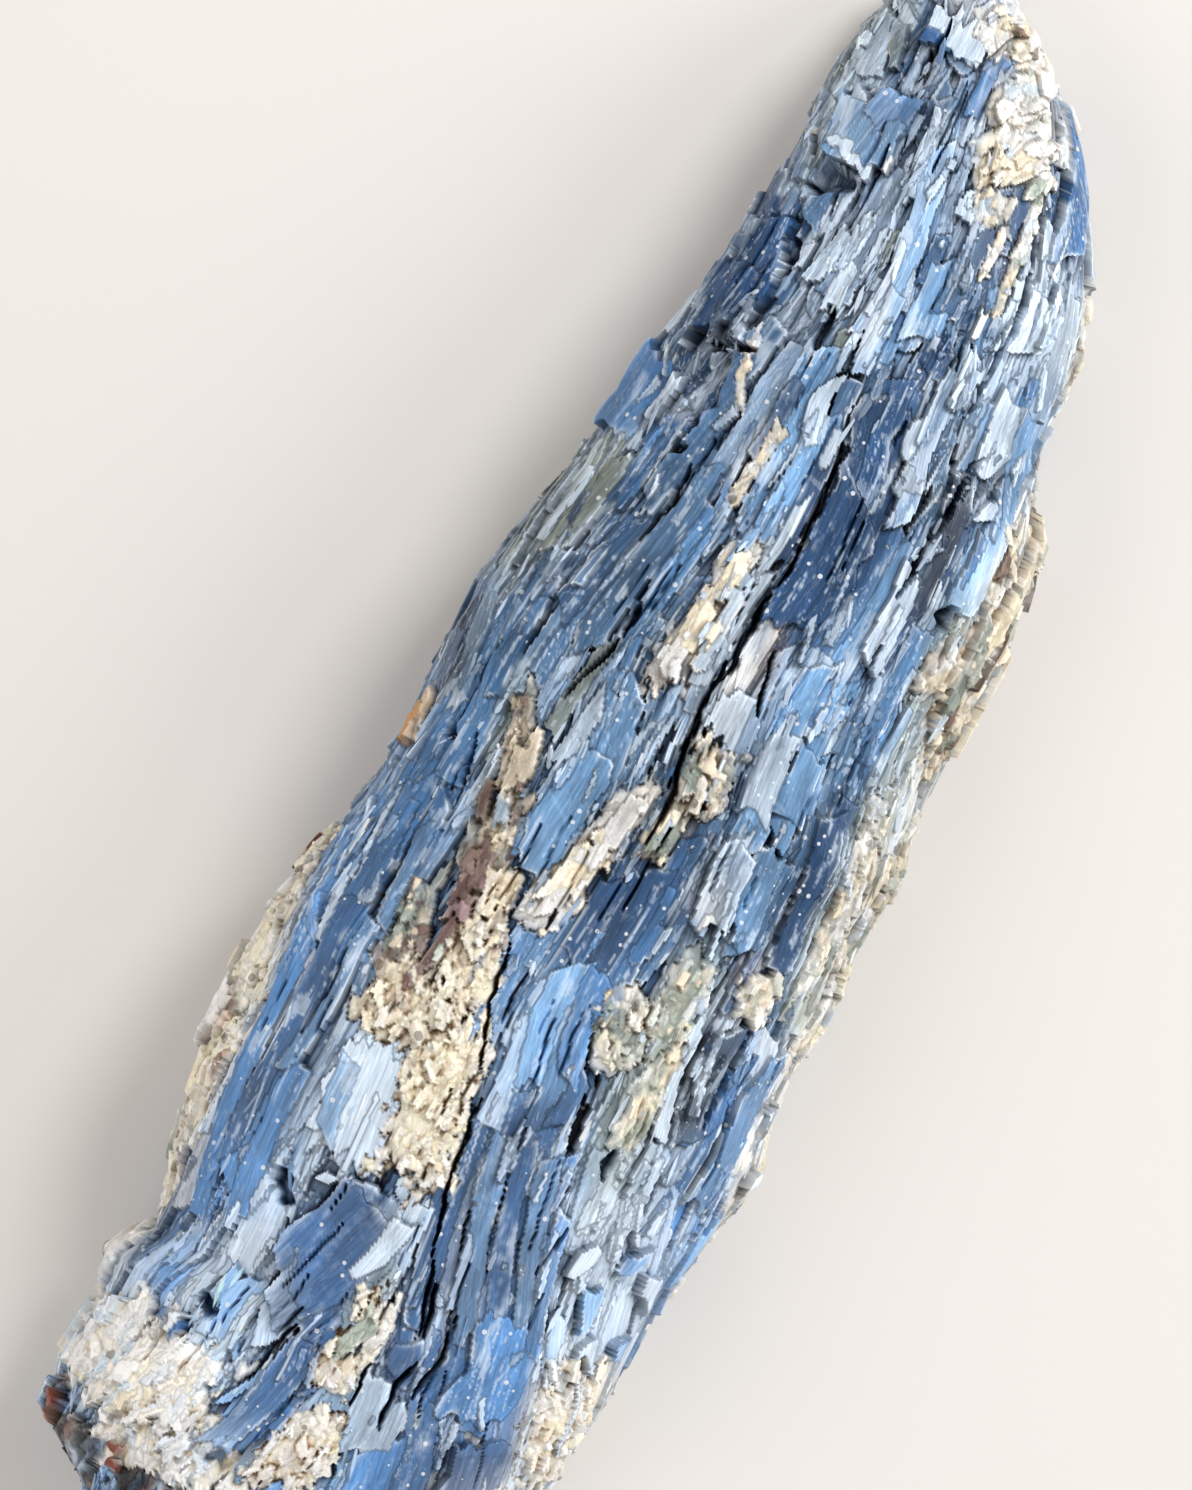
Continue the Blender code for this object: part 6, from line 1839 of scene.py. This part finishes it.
POCKETS = (
    Pocket('head_quartz_crust', 'cream_quartz',
           tones=((WHITE, 5), (CREAM, 5), (ICE, 2), (OLIVE, 1)),
           lumps=((11, 83, 3.2, 3.4, 2.8, 2.4, 20), (12.6, 77.6, 2.2, 4.2, 2.6, 2.2, 10),
                  (14.4, 72.4, 2.8, 3.6, 2.8, 2.6, 25)),
           films=((16, 79, 1.8, 3, 1.6, 2, -20), (17.4, 70.8, 1.3, 1.6, 1.2, 2.1, 0),
                  (14, 66.4, 1.9, 1.8, 1.2, 2.3, 0), (-4, 67.8, 1, 1.8, 1, 1.6, 0),
                  (18.4, 63, 0.5, 7, 1, 1.9, -4), (12.4, 70.6, 1, 3, 1, 2, 5),
                  (7.4, 83.4, 1.6, 2.6, 1.2, 2.4, 0), (24.8, 67, 0.8, 6, 1, 1.7, -24),
                  (17.6, 75.4, 1.1, 3.2, 1, 2, -20), (16.2, 62, 0.5, 3, 1, 1.9, 0)),
           plates=((8.9, 84.4, 0.5, 1.2, 20, 3.3, BROWN, 0.4), (10.6, 83, 0.4, 0.9, -20, 3.3, BROWN, 0.4),
                   (12.9, 80.6, 1.3, 3.4, -20, 3, WHITE, 1.2), (11.4, 76.4, 0.8, 3.4, 8, 3, CREAM, 1),
                   (15.4, 73.6, 0.9, 2.4, 35, 3.1, WHITE, 0.8),
                   (13.2, 71.2, 0.9, 2.6, -15, 3.2, CREAM, 0.8)),
           shade=0.6),
    Pocket('right_quartz_band', 'cream_quartz',
           tones=((CREAM, 5), (OLIVE, 2), (WHITE, 2), (BROWN, 1)),
           lumps=((30.6, 36, 2.9, 5.6, 4.4, 1.9, 8), (30.4, 27, 3.3, 6.6, 5, 2.2, 0),
                  (30.2, 17.5, 2.9, 6.6, 4.8, 1.8, -4)),
           films=((27.8, 55, 1.6, 5.2, 2, 1.8, -4), (27, 21, 2, 2.8, 1.6, 1.9, 10),
                  (26.2, 60.6, 1.6, 2.6, 1.2, 1.9, -20), (29.2, 25, 1.5, 13, 2, 1.6, 2),
                  (28, 46, 1, 5, 1.4, 1.6, -8)),
           plates=((30.2, 31, 1, 13, 6, 2.6, CREAM, 0.9), (28.8, 23, 0.8, 12, 4, 2.5, OLIVE, 0.7),
                   (31.4, 20, 0.9, 12, 2, 2.6, CREAM, 0.9), (30, 37.4, 0.9, 6, 8, 2.7, CREAM, 0.8),
                   (30.4, 24.4, 0.25, 7, 6, 2.8, BROWN, 0.3), (31.6, 33, 0.2, 5, 8, 2.8, BROWN, 0.3))),
    Pocket('right_quartz_edge', 'pale_quartz',
           tones=((CREAM, 4), (WHITE, 3), (OLIVE, 2), (GREY, 1)),
           lumps=((30.2, 3.5, 2.4, 6.4, 4.4, 1.9, 0), (29.8, -6, 2.4, 6.2, 4.4, 1.7, 0),
                  (29.4, -15, 2.4, 5.6, 4.4, 1.8, 0)),
           films=((27.6, -4, 1.7, 11, 2, 1.5, 2), (29.8, -27, 1.2, 7, 1.8, 1.6, 3),
                  (28.8, -37, 1, 7, 1.8, 1.7, 3), (26.8, -48.5, 1.1, 5, 1.4, 1.9, 5))),
    Pocket('upper_quartz_pocket', 'pale_quartz',
           tones=((CREAM, 5), (WHITE, 3), (GREY, 1)),
           lumps=((5, 22.4, 1.8, 4.6, 3.2, 2.3, 8), (3.5, 14.8, 2, 5.8, 3.2, 2.1, 8)),
           films=((2.6, 31, 0.6, 2.2, 0.8, 1.9, 8), (3.4, 35, 0.6, 2.2, 0.8, 1.9, 8),
                  (-1.5, 42, 0.4, 4, 0.6, 1.9, -3)),
           plates=((5.2, 22.8, 1, 5.6, 8, 2.8, CREAM, 1), (3.6, 15.6, 1.2, 6.6, 8, 2.7, CREAM, 1),
                   (2.8, 12, 0.9, 4.2, 12, 2.8, WHITE, 0.9), (5.9, 16.6, 0.8, 10, 8, 2.8, ICE, 0.9)),
           shade=0.6),
    Pocket('quartz_nugget', 'cream_quartz',
           tones=((CREAM, 5), (OLIVE, 2), (BROWN, 1)),
           lumps=((10.2, 2.6, 2.6, 3.2, 3.4, 3.4, 10), (8.8, -3.2, 1.5, 4.4, 2.8, 2.2, 8)),
           plates=((10.6, 3.8, 1.3, 3, 10, 4, CREAM, 0.8), (9.4, 1.2, 1, 2.4, -15, 3.8, OLIVE, 0.6),
                   (8.8, -3.2, 0.5, 4, 8, 2.7, CREAM, 0.9))),
    Pocket('iron_stained_nodule', 'iron_stained_quartz',
           tones=((CREAM, 1), (TAN, 4), (RUST, 1)),
           lumps=((-17, -3, 1.5, 2.8, 2.4, 1.9, 0),),
           plates=((-16.8, -1.4, 0.9, 3, 0, 2.1, CREAM, 0.4), (-17.1, -3.6, 1.1, 3.8, 0, 2.15, TAN, 0.4))),
    Pocket('cleft_mica_vein', 'brown_mica',
           tones=((OLIVE, 2), (BROWN, 3), (CREAM, 4)),
           lumps=((-7.6, -2.6, 1.5, 5.4, 2.8, 1.8, -10), (-6.2, -11.6, 2.2, 6, 3, 1.9, -6)),
           films=((-6, -18.4, 1.4, 4, 1.2, 1.7, -5), (-7.4, -26, 0.7, 4.2, 0.8, 2, 12),
                  (-10.6, -24, 1.9, 5.6, 1.4, 1.6, 0)),
           plates=((-6.2, -14.4, 0.9, 7.4, -2, 2.4, PLUM, 1.4),
                   (-7.2, -17.6, 0.8, 6.4, 4, 2.5, PLUM, 1.4), (-7, -22.6, 0.7, 7, 12, 2.5, PLUM, 1.2),
                   (-8.4, -26.6, 0.6, 4.6, 20, 2.5, PLUM, 1.2),
                   (-8.4, -8.4, 0.6, 6, -10, 2.3, BROWN, 1.2), (-6.4, -3, 1.2, 7, -8, 2.4, CREAM, 1.2),
                   (-6.4, -8.6, 0.7, 5, -8, 2.4, GREY, 1.2), (-4.6, -17.4, 0.7, 8, -6, 2.5, CREAM, 1.2)),
           density=1.9),
    Pocket('quartz_wedge', 'pale_quartz',
           tones=((CREAM, 3), (WHITE, 6)),
           lumps=((3.9, -5.4, 2.1, 4.6, 3.2, 2.5, 14), (1.9, -12, 2.1, 5.6, 3.2, 2.3, 14)),
           plates=((4.4, -4.8, 1.2, 6.4, 14, 3.1, WHITE, 0.8), (2.2, -11.2, 1.7, 7.4, 14, 3, CREAM, 0.9),
                   (1.2, -15, 1, 4.2, 8, 3.1, WHITE, 0.8), (3.4, -8.4, 0.8, 5, 18, 3.2, WHITE, 0.6)),
           flake=(0.8, 2.8), density=1, wild=0.3, shade=0.6),
    Pocket('lower_quartz_pocket', 'cream_quartz',
           tones=((BUTTER, 6), (CREAM, 8), (BROWN, 0.4)),
           lumps=((-3.8, -23.6, 2.9, 6, 3.6, 2.2, -8), (-8, -29.6, 4.2, 3.6, 3.4, 2, 0),
                  (-2.2, -37, 3.8, 9, 3.8, 2.4, -6)),
           films=((-3.6, -16.6, 1.4, 3.8, 1.2, 1.9, 0),),
           density=2.4, wild=0.5, shade=1),
    Pocket('right_feldspar_pocket', 'olive_feldspar',
           tones=((CREAM, 3), (OLIVE, 3), (WHITE, 1), (GREY, 1)),
           lumps=((12.4, -24, 3, 4.8, 3.2, 2, -6),),
           films=((16.6, -19, 2.2, 4.6, 1.4, 1.9, 0), (17, -28.4, 1.4, 6.4, 1.2, 1.9, 0),
                  (22.8, -15.8, 1.8, 2.6, 1.2, 2.2, 0))),
    Pocket('left_matrix', 'speckled_matrix',
           tones=((CREAM, 6), (WHITE, 4), (OLIVE, 1), (BROWN, 1)),
           lumps=((-22.2, -23, 2.7, 6, 5, 1.8, 8), (-23, -33.6, 2.9, 7.4, 5.4, 2.1, 2),
                  (-22.8, -45, 2.7, 7.6, 5.4, 1.9, -3), (-22.2, -55, 2.3, 5.8, 5, 1.7, -4)),
           plates=((-23.6, -38, 1.3, 7, 0, 2.6, WHITE, 1), (-24.4, -32.6, 1, 5, 0, 2.6, CREAM, 0.9),
                   (-22.2, -20.4, 0.6, 5, 5, 2.4, RUST, 0.6), (-23, -44.6, 1.1, 6, -3, 2.4, CREAM, 1),
                   (-23.4, -52, 0.9, 6, 0, 2.2, OLIVE, 0.9))),
    Pocket('foot_quartz_pocket', 'cream_quartz',
           tones=((BUTTER, 5), (CREAM, 5), (WHITE, 2)),
           lumps=((-0.6, -74.2, 3, 5.4, 3.4, 2.1, 8),),
           films=((21.6, -63.4, 3.6, 6.4, 2.6, 1.9, -5), (-0.4, -61, 1.6, 4, 1.4, 2.1, 0),
                  (2.3, -61.6, 0.8, 3.6, 1, 2.2, 0), (-1, -66, 2, 1.9, 1.2, 2.1, 0),
                  (17, -78, 2.4, 5, 1.6, 1.5, -8)),
           plates=((0.2, -61.8, 1.1, 6, 18, 2.7, OLIVE, 0.6),),
           density=2.4, wild=0.5, shade=1),
    Pocket('foot_white_crust', 'white_crust',
           tones=((WHITE, 10), (CREAM, 6), (ICE, 5)),
           lumps=((-21.4, -72.2, 4.8, 5.6, 6, 2.2, 0), (-15.4, -73.6, 5.4, 5.6, 5.4, 2.8, 20),
                  (-10.4, -80.4, 4.4, 4.2, 4.8, 2.2, -10)),
           films=((-24.4, -64.4, 3.4, 3, 1.8, 2.5, 0), (-15, -81.2, 6, 3, 1.8, 2, 0),
                  (-25.6, -73, 4.4, 5.4, 3, 1.9, 0)),
           plates=((-25, -65.4, 0.9, 2, 20, 3.2, BROWN, 0.6), (-23.4, -63.4, 1.1, 3, 0, 3, CREAM, 0.9),
                   (-16.6, -68.4, 1.3, 2.6, 10, 3.2, NAVY, 0.8), (-12, -79.4, 1.4, 4, 20, 3.2, ICE, 1.2),
                   (-18.6, -75, 1, 5, 14, 3.2, WHITE, 1.4), (-22, -71, 1.2, 5, 6, 3, ICE, 1.4)),
           flake=(0.8, 4), density=1.3, wild=0.5, shade=0.4, merge=0.2),
    Pocket('foot_biotite_clot', 'biotite',
           tones=((BLACK, 9), (PLUM, 1), (GREY, 0.4)),
           lumps=((-20.2, -84.6, 4.6, 3.4, 5.8, 2.6, 15),),
           films=((-13, -85, 3.2, 1.6, 1.4, 2.5, 0), (-24, -82.2, 3, 2.8, 2, 2.6, 0)),
           plates=((-23.2, -80.8, 0.8, 1.8, 10, 3.5, RUST, 0.6),
                   (-24.6, -82.6, 0.8, 1.6, -20, 3.4, RUST, 0.6),
                   (-22.6, -82.8, 0.7, 1.5, 30, 3.5, RUST, 0.6), (-24, -84, 0.7, 1.4, 0, 3.4, RUST, 0.6),
                   (-16.8, -82.2, 0.7, 1.6, 20, 3.5, RUST, 0.6),
                   (-16, -83.8, 0.7, 1.5, -10, 3.5, RUST, 0.6)),
           density=0.9, shade=1, merge=0.05),
)

FINISHES = (
    GranularFinish("cream_quartz"),
    GranularFinish("pale_quartz", stain_share=0.25, spot_share=0.04),
    GranularFinish("iron_stained_quartz", stain=(0.90, 0.62, 0.36), stain_share=0.7),
    GranularFinish("brown_mica", rough=0.4, stain=(0.45, 0.34, 0.32), stain_share=0.5),
    GranularFinish("olive_feldspar", stain=(0.55, 0.55, 0.40)),
    GranularFinish("speckled_matrix", spot_share=0.22, stain_share=0.4),
    GranularFinish("white_crust", stain=(0.74, 0.82, 0.90), stain_share=0.3, spot_share=0.02),
    GranularFinish("biotite", rough=0.32, stain=(0.6, 0.28, 0.12), stain_share=0.35),
)


def finished(piece: bpy.types.Object, slot: str, node: str) -> None:
    """Ties a piece to the root body, hides the node that it stands for and logs its triangles."""
    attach(piece, "root")
    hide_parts(node)
    faces = sum(len(polygon.vertices) - 2 for polygon in piece.data.polygons)
    log.info("%s: %d triangles", piece.name, faces)


def pressed_skin(form: Form) -> Skin:
    """Presses every blade, pocket and crevice into the cluster's skin."""
    skin = Skin(form, Flow(), Colouring())
    skin.prepare()
    rng = np.random.default_rng(SEED)
    painter = Painter(skin, rng)
    painter.bed()
    painter.leading(BLADES)
    painter.features(FEATURES)
    for number, pocket in enumerate(POCKETS):
        painter.pocket(number + 1, pocket)
    painter.flakes(7500, 3.0, 0.02)
    skin.soften_under()
    skin.note_edges()
    for *ends, width, depth in CREVICES:
        skin.carve(tuple(ends), 0.7 * width, depth + 0.5, rng)
    painter.hairlines(170)
    skin.finish_tones(rng, np.array([1.0] + [pocket.shade for pocket in POCKETS]))
    log.info("skin: %d strokes", skin.number)
    return skin


def dress_kyanite(skin: Skin, effects: Effects, lengths: int = 5) -> None:
    """Builds every piece of kyanite."""
    finish = KyaniteFinish().material(effects)
    cuts = np.linspace(0, skin.rows - 1, lengths + 1).astype(int)
    pieces = [skin.kyanite_piece(int(first), int(last), f"kyanite_length_{index}")
              for index, (first, last) in enumerate(zip(cuts, cuts[1:]))]
    rng = np.random.default_rng(SEED)
    pieces.append(FootEnds(skin.form, skin.colouring).build("kyanite_foot", rng))
    for piece in pieces:
        piece.data.materials.append(finish)
    for piece in pieces + Shards(skin).build(finish, rng):
        finished(piece, "kyanite", "kyanite_blades")


def dress_pockets(skin: Skin, effects: Effects) -> None:
    """Builds the pockets of other minerals."""
    materials = {finish.name: finish.material(effects) for finish in FINISHES}
    tree = grain_tree()
    for number, pocket in enumerate(POCKETS):
        piece = skin.mineral_piece(number + 1, pocket.node + "_flakes")
        piece = applied(piece, tree, {"Spacing": pocket.crumbs * MM, "Finish": materials[pocket.slot]})
        finished(piece, pocket.slot, pocket.node)


def main() -> None:
    """Builds the cluster's dress and the studio."""
    logging.basicConfig(level=logging.INFO, format="%(message)s")
    effects = Effects()
    skin = pressed_skin(Form())
    dress_kyanite(skin, effects)
    dress_pockets(skin, effects)
    Studio().build()
    [[list(map(float, corner)) for corner in box] for box in (CAD_BOX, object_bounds())]


if __name__ == "__main__":
    main()
